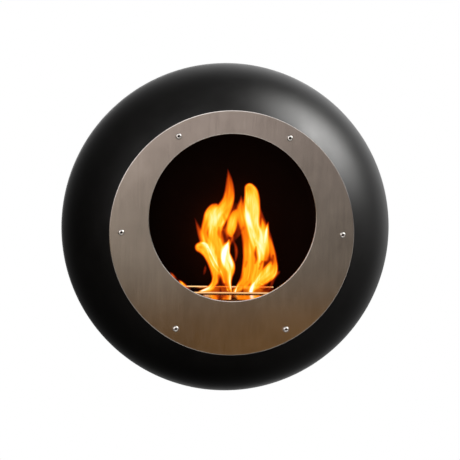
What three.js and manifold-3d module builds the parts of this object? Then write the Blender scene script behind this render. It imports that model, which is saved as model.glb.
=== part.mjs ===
// Wall-hung round fireplace with a bioethanol burner: a flattened ball of spun
// sheet steel, hung on a wall bracket, with a brushed steel face plate, a round
// firebox liner and a drop-in burner whose slot is closed by a sliding snuffer lid.
//
// Frame: millimetres, +Z up, -Y out into the room, origin on the wall, in the
// middle of the bracket's rear face, on the axis of the ball.
import * as THREE from "three";
import { mergeVertices } from "three/addons/utils/BufferGeometryUtils.js";
import Module from "manifold-3d";

// ---------------------------------------------------------------- dimensions
const GAP = 0.3; // clearance left between pieces that touch

const BALL_R = 300; // radius of the ball, seen from the front
const BALL_C = 195; // half depth that the flattened ball would have, uncut
const EQUATOR_Y = -137; // plane of the largest radius
const SHEET = 2; // shell sheet thickness
const BACK_Y = -20; // flat back of the rear shell
const FLANGE_Y = -278.8; // flat front flange of the front shell
const FLANGE_IN = 177.5; // inner radius of that flange
const FLANGE_OUT = 198.7; // and its outer radius, where it is welded to the shell
const SEAM_Y = -123; // lap joint between the two shells, behind the equator

const PLATE_R = 212.5; // face plate
const PLATE_T = 3;
const OPENING_R = 145; // fire opening in the face plate
const OPENING_UP = 27.5; // and how far it sits above the plate's centre
const SCREW_R = 192; // radius of the circle of face screws
const SCREWS = 6;
const GASKET_T = 1.2;
const FACE_Y = -283.4; // front face of the face plate

const LINER_T = 1.5;
const LINER_SEAM_Y = -140; // where its two halves meet, at the widest
const LINER_BACK_Y = -58; // inner face of the liner's back

const HEARTH_Z = -123.3; // top of the hearth plate
const HEARTH_T = 2;
const DECK_Z = -121; // top of the burner deck
const DECK_T = 2;
const SLOT_X = 95; // half length of the burner slot
const SLOT_FRONT = -177;
const SLOT_REAR = -97;
const LIP_Z = -115; // top of the slot's rear lip and of the lid's upturned edge
const LID_X = 101.5; // half width of the snuffer lid

const BRACKET_X = 130; // half width of the wall bracket
const BRACKET_Z = 110; // half height of its plate
const BRACKET_T = 3;
const HOOK_Z = 134; // top edge of the bracket's hook

const SEG = 40; // sides of the large round pieces

// ------------------------------------------------------------------ helpers
const wasm = await Module();
wasm.setup();

function toSolid(geometry) {
  const bare = geometry.index ? geometry.toNonIndexed() : geometry.clone();
  bare.deleteAttribute("normal");
  bare.deleteAttribute("uv");
  const merged = mergeVertices(bare, 1e-4);
  const source = merged.index.array;
  const kept = [];
  for (let i = 0; i < source.length; i += 3) {
    const [a, b, c] = [source[i], source[i + 1], source[i + 2]];
    if (a !== b && b !== c && a !== c) kept.push(a, b, c);
  }
  const build = (tris) =>
    new wasm.Manifold(
      new wasm.Mesh({
        numProp: 3,
        vertProperties: new Float32Array(merged.attributes.position.array),
        triVerts: new Uint32Array(tris),
      }),
    );
  let made = build(kept);
  if (made.volume() < 0) {
    for (let i = 0; i < kept.length; i += 3)
      [kept[i + 1], kept[i + 2]] = [kept[i + 2], kept[i + 1]];
    made = build(kept);
  }
  return made;
}

// A profile of [radius, y] turned about the Y axis. A profile that doesn't start
// and end on the axis is closed on itself.
function turned(profile, segments = SEG, start = 0) {
  const points = profile.map(([r, y]) => new THREE.Vector2(r, y));
  const onAxis =
    profile[0][0] === 0 && profile[profile.length - 1][0] === 0;
  if (!onAxis) points.push(points[0].clone());
  return toSolid(
    new THREE.LatheGeometry(points, segments, start, Math.PI * 2),
  );
}

function place(solid, matrix) {
  return solid.transform(matrix.elements);
}
const at = (x, y, z) => new THREE.Matrix4().makeTranslation(x, y, z);

// An outline of [u, v] extruded. along "x": u, v are y, z. along "z": u, v are
// x, y. along "y": u, v are x, z. It runs from lo to hi on that axis.
function prism(outline, along, lo, hi, holes = []) {
  const shape = new THREE.Shape(outline.map(([u, v]) => new THREE.Vector2(u, v)));
  for (const hole of holes)
    shape.holes.push(
      new THREE.Path(hole.map(([u, v]) => new THREE.Vector2(u, v))),
    );
  const g = new THREE.ExtrudeGeometry(shape, {
    depth: hi - lo,
    bevelEnabled: false,
    steps: 1,
  });
  const m = new THREE.Matrix4();
  if (along === "x") m.set(0, 0, 1, lo, 1, 0, 0, 0, 0, 1, 0, 0, 0, 0, 0, 1);
  else if (along === "z") m.set(1, 0, 0, 0, 0, 1, 0, 0, 0, 0, 1, lo, 0, 0, 0, 1);
  else m.set(1, 0, 0, 0, 0, 0, -1, hi, 0, 1, 0, 0, 0, 0, 0, 1);
  g.applyMatrix4(m);
  return toSolid(g);
}

function box(x0, x1, y0, y1, z0, z1) {
  const g = new THREE.BoxGeometry(x1 - x0, y1 - y0, z1 - z0);
  g.translate((x0 + x1) / 2, (y0 + y1) / 2, (z0 + z1) / 2);
  return toSolid(g);
}

// A plain round bar along Y or Z.
function bar(r, lo, hi, x, other, axis = "y", segments = 16) {
  const g = new THREE.CylinderGeometry(r, r, hi - lo, segments);
  g.translate(0, (lo + hi) / 2, 0);
  if (axis === "z") {
    g.rotateX(Math.PI / 2);
    g.translate(x, other, 0);
  } else g.translate(x, 0, other);
  return toSolid(g);
}

function circle(r, cx = 0, cy = 0, segments = 96) {
  const points = [];
  for (let i = 0; i < segments; i++) {
    const a = (2 * Math.PI * i) / segments;
    points.push([cx + r * Math.cos(a), cy + r * Math.sin(a)]);
  }
  return points;
}

function roundedRect(x0, x1, y0, y1, r, steps = 3) {
  const points = [];
  for (const [cx, cy, a0] of [
    [x1 - r, y1 - r, 0],
    [x0 + r, y1 - r, 90],
    [x0 + r, y0 + r, 180],
    [x1 - r, y0 + r, 270],
  ])
    for (let i = 0; i <= steps; i++) {
      const a = ((a0 + (90 * i) / steps) * Math.PI) / 180;
      points.push([cx + r * Math.cos(a), cy + r * Math.sin(a)]);
    }
  return points;
}

// The same polyline moved sideways by d, to the left of its direction of travel.
function offset(line, d) {
  return line.map((p, i) => {
    const a = line[Math.max(0, i - 1)];
    const b = line[Math.min(line.length - 1, i + 1)];
    const dx = b[0] - a[0];
    const dy = b[1] - a[1];
    const l = Math.hypot(dx, dy);
    return [p[0] - (dy / l) * d, p[1] + (dx / l) * d];
  });
}

function bezier(p, c, q, steps) {
  const points = [];
  for (let i = 1; i <= steps; i++) {
    const t = i / steps;
    const k = [(1 - t) ** 2, 2 * t * (1 - t), t * t];
    points.push([
      k[0] * p[0] + k[1] * c[0] + k[2] * q[0],
      k[0] * p[1] + k[1] * c[1] + k[2] * q[1],
    ]);
  }
  return points;
}

const ellipse = (degrees) => [
  BALL_R * Math.cos((degrees * Math.PI) / 180),
  EQUATOR_Y + BALL_C * Math.sin((degrees * Math.PI) / 180),
];

const finish = {
  shell: new THREE.MeshStandardMaterial({ color: 0x141414, roughness: 0.42, metalness: 0.0 }),
  liner: new THREE.MeshStandardMaterial({ color: 0x0c0a0a, roughness: 0.45, metalness: 0.1 }),
  bracket: new THREE.MeshStandardMaterial({ color: 0x1b1b1b, roughness: 0.6, metalness: 0.0 }),
  face: new THREE.MeshStandardMaterial({ color: 0x9c9085, roughness: 0.34, metalness: 1.0 }),
  burner: new THREE.MeshStandardMaterial({ color: 0xb9b1a8, roughness: 0.22, metalness: 1.0 }),
  fastener: new THREE.MeshStandardMaterial({ color: 0xd2cdc6, roughness: 0.16, metalness: 1.0 }),
  zinc: new THREE.MeshStandardMaterial({ color: 0xa9abac, roughness: 0.38, metalness: 1.0 }),
  rubber: new THREE.MeshStandardMaterial({ color: 0x121212, roughness: 0.85, metalness: 0.0 }),
  gasket: new THREE.MeshStandardMaterial({ color: 0x1a1a1a, roughness: 0.95, metalness: 0.0 }),
  wool: new THREE.MeshStandardMaterial({ color: 0xe6e2d8, roughness: 1.0, metalness: 0.0 }),
};

const fireplace = new THREE.Group();
const pod = new THREE.Group(); // all that lifts off the wall bracket
const burner = new THREE.Group(); // all that lifts out of the hearth
fireplace.add(pod);
pod.add(burner);

function add(group, name, solid, material) {
  const m = solid.getMesh();
  const count = m.numVert;
  const stride = m.numProp;
  const position = new Float32Array(count * 3);
  for (let i = 0; i < count; i++)
    position.set(m.vertProperties.subarray(i * stride, i * stride + 3), i * 3);
  const g = new THREE.BufferGeometry();
  g.setAttribute("position", new THREE.BufferAttribute(position, 3));
  g.setIndex(new THREE.BufferAttribute(new Uint32Array(m.triVerts), 1));
  g.computeVertexNormals();
  const mesh = new THREE.Mesh(g, material);
  mesh.name = name;
  group.add(mesh);
  return mesh;
}

// ------------------------------------------------------------- wall bracket
const WALL_HOLES = [
  [-112, 86],
  [112, 86],
  [-112, -86],
  [112, -86],
];
{
  let s = prism(
    [
      [0, -BRACKET_Z],
      [0, BRACKET_Z + 2],
      [-13, BRACKET_Z + 2],
      [-13, HOOK_Z],
      [-16, HOOK_Z],
      [-16, BRACKET_Z - 1],
      [-BRACKET_T, BRACKET_Z - 1],
      [-BRACKET_T, -BRACKET_Z],
    ],
    "x",
    -BRACKET_X,
    BRACKET_X,
  );
  WALL_HOLES.forEach(([x, z], i) => {
    // the two upper holes are slots along X, so the bracket can be levelled
    s =
      i < 2
        ? s.subtract(prism(roundedRect(x - 9, x + 9, z - 4.5, z + 4.5, 4.49, 4), "y", -5, 2))
        : s.subtract(bar(4.5, -5, 2, x, z));
  });
  add(fireplace, "wall_bracket", s, finish.bracket);
}

// ------------------------------------------------- hang rail and its bolts
const RAIL_BOLTS = [-85, 0, 85];
const RAIL_BOLT_Z = 154;
{
  let s = prism(
    [
      [BACK_Y + GAP, HOOK_Z + GAP],
      [BACK_Y + GAP, 170],
      [BACK_Y + GAP + 3, 170],
      [BACK_Y + GAP + 3, HOOK_Z + GAP + 3],
      [-6, HOOK_Z + GAP + 3],
      [-6, 114.3],
      [-9, 114.3],
      [-9, HOOK_Z + GAP],
    ],
    "x",
    -115,
    115,
  );
  for (const x of RAIL_BOLTS) s = s.subtract(bar(3.4, -25, -10, x, RAIL_BOLT_Z));
  add(pod, "hang_rail", s, finish.bracket);
}

// Button-head screw along Y. face is where the underside of its head rests, out
// is -1 when the head faces the room and +1 when it faces the wall.
function screw(r, headR, headH, length, socketR, segments = 12) {
  // head towards negative y, underside of the head at y = 0
  const profile = [
    [0, -headH],
    [headR * 0.55, -headH * 0.92],
    [headR * 0.92, -headH * 0.5],
    [headR, 0],
    [r, 0],
    [r, length],
    [0, length],
  ];
  const socket = bar(socketR, -headH - 1, -headH * 0.35, 0, 0, "y", 6);
  return turned(profile, segments).subtract(socket);
}
const FLIP = new THREE.Matrix4().makeRotationX(Math.PI);

RAIL_BOLTS.forEach((x, i) => {
  const bolt = screw(3, 5.25, 3.3, 14, 2.3);
  add(
    pod,
    `rail_bolt_${i + 1}`,
    place(bolt, at(x, BACK_Y + GAP + 3.2, RAIL_BOLT_Z).multiply(FLIP)),
    finish.zinc,
  );
  add(
    pod,
    `rail_nut_${i + 1}`,
    bar(5.77, -27.2, -22.2, x, RAIL_BOLT_Z, "y", 6).subtract(
      bar(3.4, -30, -20, x, RAIL_BOLT_Z, "y", 12),
    ),
    finish.zinc,
  );
});

// ------------------------------------------------------------ rubber bumpers
const BUMPERS = [
  ["left", -72],
  ["right", 72],
];
const BUMPER_Z = -92;
for (const [side, x] of BUMPERS)
  add(
    pod,
    `bumper_${side}`,
    place(
      turned(
        [
          [0, -BRACKET_T - GAP],
          [11, -BRACKET_T - GAP],
          [13, -6],
          [15, BACK_Y + GAP],
          [4, BACK_Y + GAP],
          [4, BACK_Y - SHEET - GAP],
          [6.2, BACK_Y - SHEET - GAP],
          [4.5, -26.5],
          [0, -26.5],
        ],
        16,
      ),
      at(x, 0, BUMPER_Z),
    ),
    finish.rubber,
  );

// ------------------------------------------------------------------- shells
const BACK_BOLTS = [30, 150, 210, 330].map((a) => [
  130 * Math.cos((a * Math.PI) / 180),
  130 * Math.sin((a * Math.PI) / 180),
]);
const SEAM_SCREW_ANGLES = [30, 90, 150, 210, 270, 330];
const SEAM_SCREW_Y = -129;

// seam screw: flush countersunk head on the skin, shank towards the axis. It is
// modelled along Z, with the skin at z = BALL_R.
function seamShape(clear) {
  const top = BALL_R - 0.35 + clear * 2;
  return toSolid(
    new THREE.LatheGeometry(
      [
        [0, 289 - clear],
        [2 + clear, 289 - clear],
        [2 + clear, BALL_R - 2.2 - clear],
        [3.7 + clear, BALL_R - 0.9 - clear * 0.4],
        [3.7 + clear, top],
        [0, top],
      ].map(([r, h]) => new THREE.Vector2(r, h)),
      10,
    ).rotateX(Math.PI / 2),
  );
}
// turns the +Z direction to the given angle in the XZ plane, measured from +X
const around = (degrees) =>
  at(0, SEAM_SCREW_Y, 0).multiply(
    new THREE.Matrix4().makeRotationY(((90 - degrees) * Math.PI) / 180),
  );

{
  // outer line of the rear half, from the seam to the flat back
  const line = [[ellipse(4.2)[0], SEAM_Y + 0.2]];
  for (const a of [12, 20, 27, 33]) line.push(ellipse(a));
  line.push(...bezier(ellipse(33), [240.8, BACK_Y], [230, BACK_Y], 2));
  const inner = offset(line, SHEET);
  inner[inner.length - 1] = [230, BACK_Y - SHEET];
  let s = turned([
    ...line,
    [0, BACK_Y],
    [0, BACK_Y - SHEET],
    ...inner.slice(1).reverse(),
    [294.8, SEAM_Y + 3],
    [294.8, SEAM_Y - 12],
    [296.8, SEAM_Y - 12],
    [296.8, SEAM_Y + 0.2],
  ]);
  for (const [x, z] of BACK_BOLTS) s = s.subtract(bar(3.4, -30, -10, x, z, "y", 12));
  for (const x of RAIL_BOLTS) s = s.subtract(bar(3.4, -30, -10, x, RAIL_BOLT_Z, "y", 12));
  for (const [, x] of BUMPERS) s = s.subtract(bar(4.4, -30, -10, x, BUMPER_Z, "y", 12));
  // convection vents: a row of slots low on the back and one high on it
  for (const z of [-178, 192])
    for (const x of [-76, -38, 0, 38, 76])
      s = s.subtract(prism(roundedRect(x - 13, x + 13, z - 4, z + 4, 3.99, 2), "y", -30, -10));
  for (const a of SEAM_SCREW_ANGLES)
    s = s.subtract(place(seamShape(GAP), around(a)));
  add(pod, "rear_shell", s, finish.shell);
}
{
  // outer line of the front half, from the seam to the flat flange
  const line = [[ellipse(4.1)[0], SEAM_Y - 0.2]];
  for (const a of [0, -10, -19, -28, -36, -44.5]) line.push(ellipse(a));
  line.push(...bezier(ellipse(-44.5), [206.3, FLANGE_Y], [FLANGE_OUT + GAP, FLANGE_Y], 2));
  const inner = offset(line, -SHEET);
  inner[0] = [line[0][0] - SHEET, SEAM_Y - 0.2];
  inner[inner.length - 1] = [FLANGE_OUT + GAP, FLANGE_Y + SHEET];
  let s = turned([...line, ...inner.reverse()]);
  for (const a of SEAM_SCREW_ANGLES)
    s = s.subtract(place(seamShape(GAP), around(a)));
  add(pod, "front_shell", s, finish.shell);
}
{
  // a flat ring, welded into the mouth of the front half, carries the face plate
  const holes = [circle(FLANGE_IN, 0, 0, SEG)];
  for (let k = 0; k < SCREWS; k++) {
    const a = (k * 2 * Math.PI) / SCREWS;
    holes.push(circle(3.4, SCREW_R * Math.cos(a), SCREW_R * Math.sin(a), 12));
  }
  add(
    pod,
    "front_flange",
    prism(circle(FLANGE_OUT, 0, 0, SEG), "y", FLANGE_Y, FLANGE_Y + SHEET, holes),
    finish.shell,
  );
}
SEAM_SCREW_ANGLES.forEach((a, i) => {
  const socket = toSolid(
    new THREE.CylinderGeometry(1.35, 1.35, 3, 6)
      .rotateX(Math.PI / 2)
      .translate(0, 0, BALL_R + 0.1),
  );
  add(
    pod,
    `seam_screw_${i + 1}`,
    place(seamShape(0).subtract(socket), around(a)),
    finish.zinc,
  );
});

// --------------------------------------------------------- liner and shield
const linerLine = [
  // [radius, y] of the liner's inner face, from its front rim to its flat back
  [176, -275.1],
  [209, -243],
  [226, -215],
  [237, -182],
  [239.5, -140],
  [233, -97],
  [219, -74],
  [196, -62],
  [170, LINER_BACK_Y],
];
function linerRadius(y) {
  for (let i = 1; i < linerLine.length; i++) {
    const [r0, y0] = linerLine[i - 1];
    const [r1, y1] = linerLine[i];
    if (y <= y1) return r0 + ((r1 - r0) * (y - y0)) / (y1 - y0);
  }
  return 170;
}
const LINER_FLANGE_Y = FLANGE_Y + SHEET + 0.2;
{
  // The liner is widest in the middle, so it is spun in rings, welded to each other,
  // with a lap at the widest line. The throat ring carries the flange.
  const frontLine = [...linerLine.slice(0, 4), [239.5, LINER_SEAM_Y - 0.2]];
  const outer = offset(frontLine, -LINER_T);
  outer[0] = [178.4, LINER_FLANGE_Y + LINER_T];
  outer[outer.length - 1] = [239.5 + LINER_T, LINER_SEAM_Y - 0.2];
  const trim = (line, from, to) => {
    // half of the welding gap comes off each end that meets another ring
    const out = line.slice(from, to + 1).map((p) => [...p]);
    const pull = (p, q) => {
      const d = GAP / 2 / Math.hypot(q[0] - p[0], q[1] - p[1]);
      p[0] += (q[0] - p[0]) * d;
      p[1] += (q[1] - p[1]) * d;
    };
    if (from > 0) pull(out[0], out[1]);
    if (to < line.length - 1) pull(out[out.length - 1], out[out.length - 2]);
    return out;
  };
  let throat = turned([
    ...trim(frontLine, 0, 1).reverse().slice(0, -1),
    [176, LINER_FLANGE_Y + LINER_T],
    [176, LINER_FLANGE_Y],
    [198.6, LINER_FLANGE_Y],
    [198.6, LINER_FLANGE_Y + LINER_T],
    ...trim(outer, 0, 1),
  ]);
  for (let k = 0; k < SCREWS; k++) {
    const a = (k * 2 * Math.PI) / SCREWS;
    throat = throat.subtract(
      bar(3.4, -282, -272, SCREW_R * Math.cos(a), SCREW_R * Math.sin(a), "y", 12),
    );
  }
  add(pod, "liner_throat", throat, finish.liner);
  for (const [name, from, to] of [
    ["liner_front", 1, 3],
    ["liner_middle", 3, 4],
  ])
    add(
      pod,
      name,
      turned([...trim(frontLine, from, to).reverse(), ...trim(outer, from, to)]),
      finish.liner,
    );

  const rearLine = [[239.4, LINER_SEAM_Y + 2], ...linerLine.slice(5)];
  const rearOuter = offset(rearLine, -LINER_T);
  rearOuter[0] = [241.1, LINER_SEAM_Y + 3.4];
  rearOuter[rearOuter.length - 1] = [170, LINER_BACK_Y + LINER_T];
  const rear = turned([
    ...[...rearLine].reverse(),
    [241.8, LINER_SEAM_Y + 0.3],
    [241.8, LINER_SEAM_Y - 11],
    [243.3, LINER_SEAM_Y - 11],
    [243.3, LINER_SEAM_Y + 1],
    ...rearOuter,
  ]);
  add(pod, "liner_rear", rear, finish.liner);

  // its flat back is a disc welded into the rear half, with four threaded bosses
  let back = turned([
    [0, LINER_BACK_Y],
    [170 - GAP, LINER_BACK_Y],
    [170 - GAP, LINER_BACK_Y + LINER_T],
    [0, LINER_BACK_Y + LINER_T],
  ]);
  for (const [x, z] of BACK_BOLTS)
    back = back
      .add(bar(7, LINER_BACK_Y + LINER_T - 0.5, -40.3, x, z, "y", 16))
      .subtract(bar(3.4, -54, -30, x, z, "y", 12));
  add(pod, "liner_back", back, finish.liner);
}
{
  let s = turned(
    [
      [0, -40],
      [205, -40],
      [205, -39],
      [0, -39],
    ],
    48,
  );
  for (const [x, z] of BACK_BOLTS) s = s.subtract(bar(3.6, -45, -35, x, z, "y", 12));
  add(pod, "heat_shield", s, finish.zinc);
}
BACK_BOLTS.forEach(([x, z], i) => {
  add(
    pod,
    `shield_spacer_${i + 1}`,
    bar(7, -38.8, BACK_Y - SHEET - GAP, x, z, "y", 16).subtract(
      bar(3.5, -45, -10, x, z, "y", 12),
    ),
    finish.zinc,
  );
  add(
    pod,
    `back_bolt_${i + 1}`,
    place(screw(3, 5.25, 3.3, 31, 2.3), at(x, BACK_Y + 0.2, z).multiply(FLIP)),
    finish.zinc,
  );
});

// ----------------------------------------------- face plate, gasket, screws
const screwPlaces = [];
for (let k = 0; k < SCREWS; k++) {
  const a = (k * 2 * Math.PI) / SCREWS;
  screwPlaces.push([SCREW_R * Math.cos(a), SCREW_R * Math.sin(a)]);
}
add(
  pod,
  "face_plate",
  prism(circle(PLATE_R, 0, 0, 72), "y", FACE_Y, FACE_Y + PLATE_T, [
    circle(OPENING_R, 0, OPENING_UP, 60),
    ...screwPlaces.map(([x, z]) => circle(3.4, x, z, 12)),
  ]),
  finish.face,
);
add(
  pod,
  "face_gasket",
  prism(circle(207, 0, 0, SEG), "y", FLANGE_Y - 0.2 - GASKET_T, FLANGE_Y - 0.2, [
    circle(180, 0, 0, SEG),
    ...screwPlaces.map(([x, z]) => circle(3.6, x, z, 10)),
  ]),
  finish.gasket,
);
screwPlaces.forEach(([x, z], i) => {
  add(
    pod,
    `face_screw_${i + 1}`,
    place(screw(3, 5.25, 3.3, 16.5, 2.3), at(x, FACE_Y - 0.2, z)),
    finish.fastener,
  );
  add(
    pod,
    `face_nut_${i + 1}`,
    bar(5.77, LINER_FLANGE_Y + LINER_T + 0.2, LINER_FLANGE_Y + LINER_T + 5.2, x, z, "y", 6).subtract(
      bar(3.4, -280, -265, x, z, "y", 12),
    ),
    finish.zinc,
  );
});

// --------------------------------------------------- hearth and spill tray
const HEARTH_SCREW_X = 183;
{
  const left = [];
  const right = [];
  for (const y of [-266, -255, -240, -220, -195, -165, -137, -110, -92, -78, -66]) {
    const half = Math.sqrt(linerRadius(y) ** 2 - 127 ** 2) - 1.2;
    right.push([half, y]);
    left.unshift([-half, y]);
  }
  const hole = [
    [-116, -196],
    [116, -196],
    [116, -86],
    [-116, -86],
  ];
  let s = prism([...right, ...left], "z", HEARTH_Z - HEARTH_T, HEARTH_Z, [hole]);
  for (const x of [-HEARTH_SCREW_X, HEARTH_SCREW_X])
    s = s.subtract(bar(2.9, -130, -120, x, EQUATOR_Y, "z", 12));
  add(pod, "hearth_plate", s, finish.liner);

  const room = turned([
    [0, LINER_BACK_Y - 0.4],
    ...offset(linerLine, 0.4).reverse(),
    [0, -275],
  ]);
  for (const [side, d] of [
    ["left", -1],
    ["right", 1],
  ]) {
    const [x0, x1] = d < 0 ? [-215, -168] : [168, 215];
    const lug = box(x0, x1, EQUATOR_Y - 18, EQUATOR_Y + 18, -147, HEARTH_Z - HEARTH_T - GAP)
      .intersect(room)
      .subtract(bar(2.8, -150, -120, d * HEARTH_SCREW_X, EQUATOR_Y, "z", 12));
    add(pod, `hearth_lug_${side}`, lug, finish.liner);
    const m = at(d * HEARTH_SCREW_X, EQUATOR_Y, HEARTH_Z + 0.2).multiply(
      new THREE.Matrix4().makeRotationX(-Math.PI / 2),
    );
    add(
      pod,
      `hearth_screw_${side}`,
      place(screw(2.5, 4.75, 2.7, 16, 1.7, 12), m),
      finish.liner,
    );
  }
}
function openBox(x0, x1, y0, y1, z0, z1, wall) {
  return box(x0, x1, y0, y1, z0, z1).subtract(
    box(x0 + wall, x1 - wall, y0 + wall, y1 - wall, z0 + wall, z1 + 5),
  );
}
add(
  pod,
  "spill_tray",
  openBox(-119, 119, -201, -82, -186, HEARTH_Z - HEARTH_T - GAP, 1.2),
  finish.liner,
);

// ------------------------------------------------------------------- burner
{
  let s = prism(
    roundedRect(-130, 130, -267, -77, 8, 4),
    "z",
    DECK_Z - DECK_T,
    DECK_Z,
    [
      [
        [-SLOT_X, SLOT_FRONT],
        [SLOT_X, SLOT_FRONT],
        [SLOT_X, SLOT_REAR],
        [-SLOT_X, SLOT_REAR],
      ],
    ],
  );
  s = s.add(box(-SLOT_X, SLOT_X, SLOT_REAR, SLOT_REAR + 1.5, DECK_Z - 1, LIP_Z));
  add(burner, "burner_deck", s, finish.burner);
}
add(
  burner,
  "burner_reservoir",
  openBox(-112, 112, -192, -90, -181, DECK_Z - DECK_T - GAP, 1.5),
  finish.burner,
);
add(burner, "wool_pad", box(-109, 109, -189, -93, -179, -145), finish.wool);
{
  let s = box(-109.5, 109.5, -189.5, -92.5, -144.7, -143.5);
  for (const x of [-80, -40, 0, 40, 80])
    for (const y of [-168, -114])
      s = s.subtract(prism(roundedRect(x - 7, x + 7, y - 20, y + 20, 6.9, 2), "z", -150, -140));
  add(burner, "wool_retainer", s, finish.burner);
}
for (const [side, d] of [
  ["left", -1],
  ["right", 1],
]) {
  const section = [
    [102.2, DECK_Z + 0.2],
    [103.7, DECK_Z + 0.2],
    [103.7, -117.2],
    [97.5, -117.2],
    [97.5, -118.6],
    [102.2, -118.6],
  ].map(([x, z]) => [d * x, z]);
  add(
    burner,
    `lid_guide_${side}`,
    prism(d < 0 ? section.reverse() : section, "y", -265, -99),
    finish.burner,
  );
}

// -------------------------------------------------------------- snuffer lid
{
  let s = box(-LID_X, LID_X, -264.5, SLOT_FRONT, DECK_Z + GAP, DECK_Z + GAP + 1.5);
  s = s.add(
    box(-SLOT_X, SLOT_X, SLOT_FRONT - 1.5, SLOT_FRONT, DECK_Z + GAP, LIP_Z),
  );
  add(burner, "snuffer_lid", s, finish.burner);
}

export default fireplace;
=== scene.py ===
import math

import bmesh
import bpy
import numpy as np
from mathutils import Matrix, Vector

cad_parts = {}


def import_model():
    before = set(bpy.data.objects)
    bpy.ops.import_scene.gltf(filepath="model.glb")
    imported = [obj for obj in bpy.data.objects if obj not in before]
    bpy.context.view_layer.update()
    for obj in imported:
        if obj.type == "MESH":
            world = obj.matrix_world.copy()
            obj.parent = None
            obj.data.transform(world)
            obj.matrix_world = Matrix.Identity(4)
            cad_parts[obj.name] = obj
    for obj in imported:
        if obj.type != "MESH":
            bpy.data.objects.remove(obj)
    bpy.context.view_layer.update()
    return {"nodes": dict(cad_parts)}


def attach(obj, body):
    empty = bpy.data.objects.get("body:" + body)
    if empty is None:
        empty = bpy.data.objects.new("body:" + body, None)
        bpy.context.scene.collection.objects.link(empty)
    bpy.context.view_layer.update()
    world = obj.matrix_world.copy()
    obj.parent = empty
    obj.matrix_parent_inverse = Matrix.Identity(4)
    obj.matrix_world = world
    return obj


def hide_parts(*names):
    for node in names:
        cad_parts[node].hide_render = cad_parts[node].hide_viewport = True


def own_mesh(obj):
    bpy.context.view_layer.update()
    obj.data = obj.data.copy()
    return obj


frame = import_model()
NODES = frame["nodes"]
SCENE = bpy.context.scene
MM = 0.001
PI = math.pi


# ------------------------------------------------------------------ camera
# The camera stands 2.5 m away, a little to the left of the axis and above it.
TARGET = Vector((0.0, -0.137, 0.0))
DISTANCE = 2.5
AZ, EL, ROLL = (math.radians(v) for v in (-4.63, 4.20, 1.03))
FOCAL = 1362.3  # in pixels of the 460 pixel frame
U0, V0 = 225.9, 227.5

BACK = Vector((math.sin(AZ) * math.cos(EL), -math.cos(AZ) * math.cos(EL), math.sin(EL)))
RIGHT0 = Vector((math.cos(AZ), math.sin(AZ), 0.0))
UP0 = BACK.cross(RIGHT0)
RIGHT = RIGHT0 * math.cos(ROLL) + UP0 * math.sin(ROLL)
UP = UP0 * math.cos(ROLL) - RIGHT0 * math.sin(ROLL)
EYE = TARGET + BACK * DISTANCE


def make_camera():
    data = bpy.data.cameras.new("photo_camera")
    data.sensor_width = 36.0
    data.lens = FOCAL / 460.0 * 36.0
    data.shift_x = (230.0 - U0) / 460.0
    data.shift_y = (V0 - 230.0) / 460.0
    data.clip_start = 0.05
    data.clip_end = 50.0
    data.dof.use_dof = False
    cam = bpy.data.objects.new("photo_camera", data)
    SCENE.collection.objects.link(cam)
    m = Matrix.Identity(4)
    for row in range(3):
        m[row][0] = RIGHT[row]
        m[row][1] = UP[row]
        m[row][2] = BACK[row]
        m[row][3] = EYE[row]
    cam.matrix_world = m
    SCENE.camera = cam


make_camera()


def through_pixel(u, v, y_mm):
    """The point, in mm, on the plane y = y_mm that shows at picture place (u, v)."""
    d = RIGHT * ((u - U0) / FOCAL) - UP * ((v - V0) / FOCAL) - BACK
    t = (y_mm * MM - EYE.y) / d.y
    return (EYE + d * t) / MM


# ---------------------------------------------------------- mesh making tools
def new_object(name, verts, faces, smooth=30.0):
    """verts are in mm. Normals are made to point outwards."""
    me = bpy.data.meshes.new(name)
    me.from_pydata([tuple(c * MM for c in v) for v in verts], [], faces)
    bm = bmesh.new()
    bm.from_mesh(me)
    bmesh.ops.remove_doubles(bm, verts=bm.verts, dist=1e-7)
    bmesh.ops.recalc_face_normals(bm, faces=bm.faces)
    bm.to_mesh(me)
    bm.free()
    ob = bpy.data.objects.new(name, me)
    SCENE.collection.objects.link(ob)
    shade(ob, smooth)
    return ob


def shade(ob, smooth=30.0):
    me = ob.data
    me.polygons.foreach_set("use_smooth", [True] * len(me.polygons))
    me.set_sharp_from_angle(angle=math.radians(smooth))
    me.update()


def soften(ob, width=0.3, segments=2, angle=38.0, weighted=True):
    """Small rounded edges, as on deburred sheet metal."""
    b = ob.modifiers.new("edges", "BEVEL")
    b.width = width * MM
    b.segments = segments
    b.limit_method = "ANGLE"
    b.angle_limit = math.radians(angle)
    b.use_clamp_overlap = True
    if weighted:
        w = ob.modifiers.new("flats", "WEIGHTED_NORMAL")
        w.keep_sharp = True
    return ob


def settle(ob, smooth=30.0):
    """Applies the modifiers."""
    dg = bpy.context.evaluated_depsgraph_get()
    me = bpy.data.meshes.new_from_object(ob.evaluated_get(dg))
    ob.modifiers.clear()
    old = ob.data
    ob.data = me
    bpy.data.meshes.remove(old)
    me.name = ob.name
    shade(ob, smooth)
    return ob


def combine(ob, others, operation="DIFFERENCE"):
    for other in others:
        m = ob.modifiers.new("cut", "BOOLEAN")
        m.operation = operation
        m.solver = "EXACT"
        m.object = other
    bpy.context.view_layer.update()
    settle(ob)
    for other in others:
        me = other.data
        bpy.data.objects.remove(other)
        bpy.data.meshes.remove(me)
    return ob


def joined(name, parts, smooth=30.0):
    """Several closed shapes as one object."""
    bm = bmesh.new()
    for p in parts:
        p.data.transform(p.matrix_world)
        bm.from_mesh(p.data)
        me = p.data
        bpy.data.objects.remove(p)
        bpy.data.meshes.remove(me)
    me = bpy.data.meshes.new(name)
    bm.to_mesh(me)
    bm.free()
    ob = bpy.data.objects.new(name, me)
    SCENE.collection.objects.link(ob)
    shade(ob, smooth)
    return ob


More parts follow.
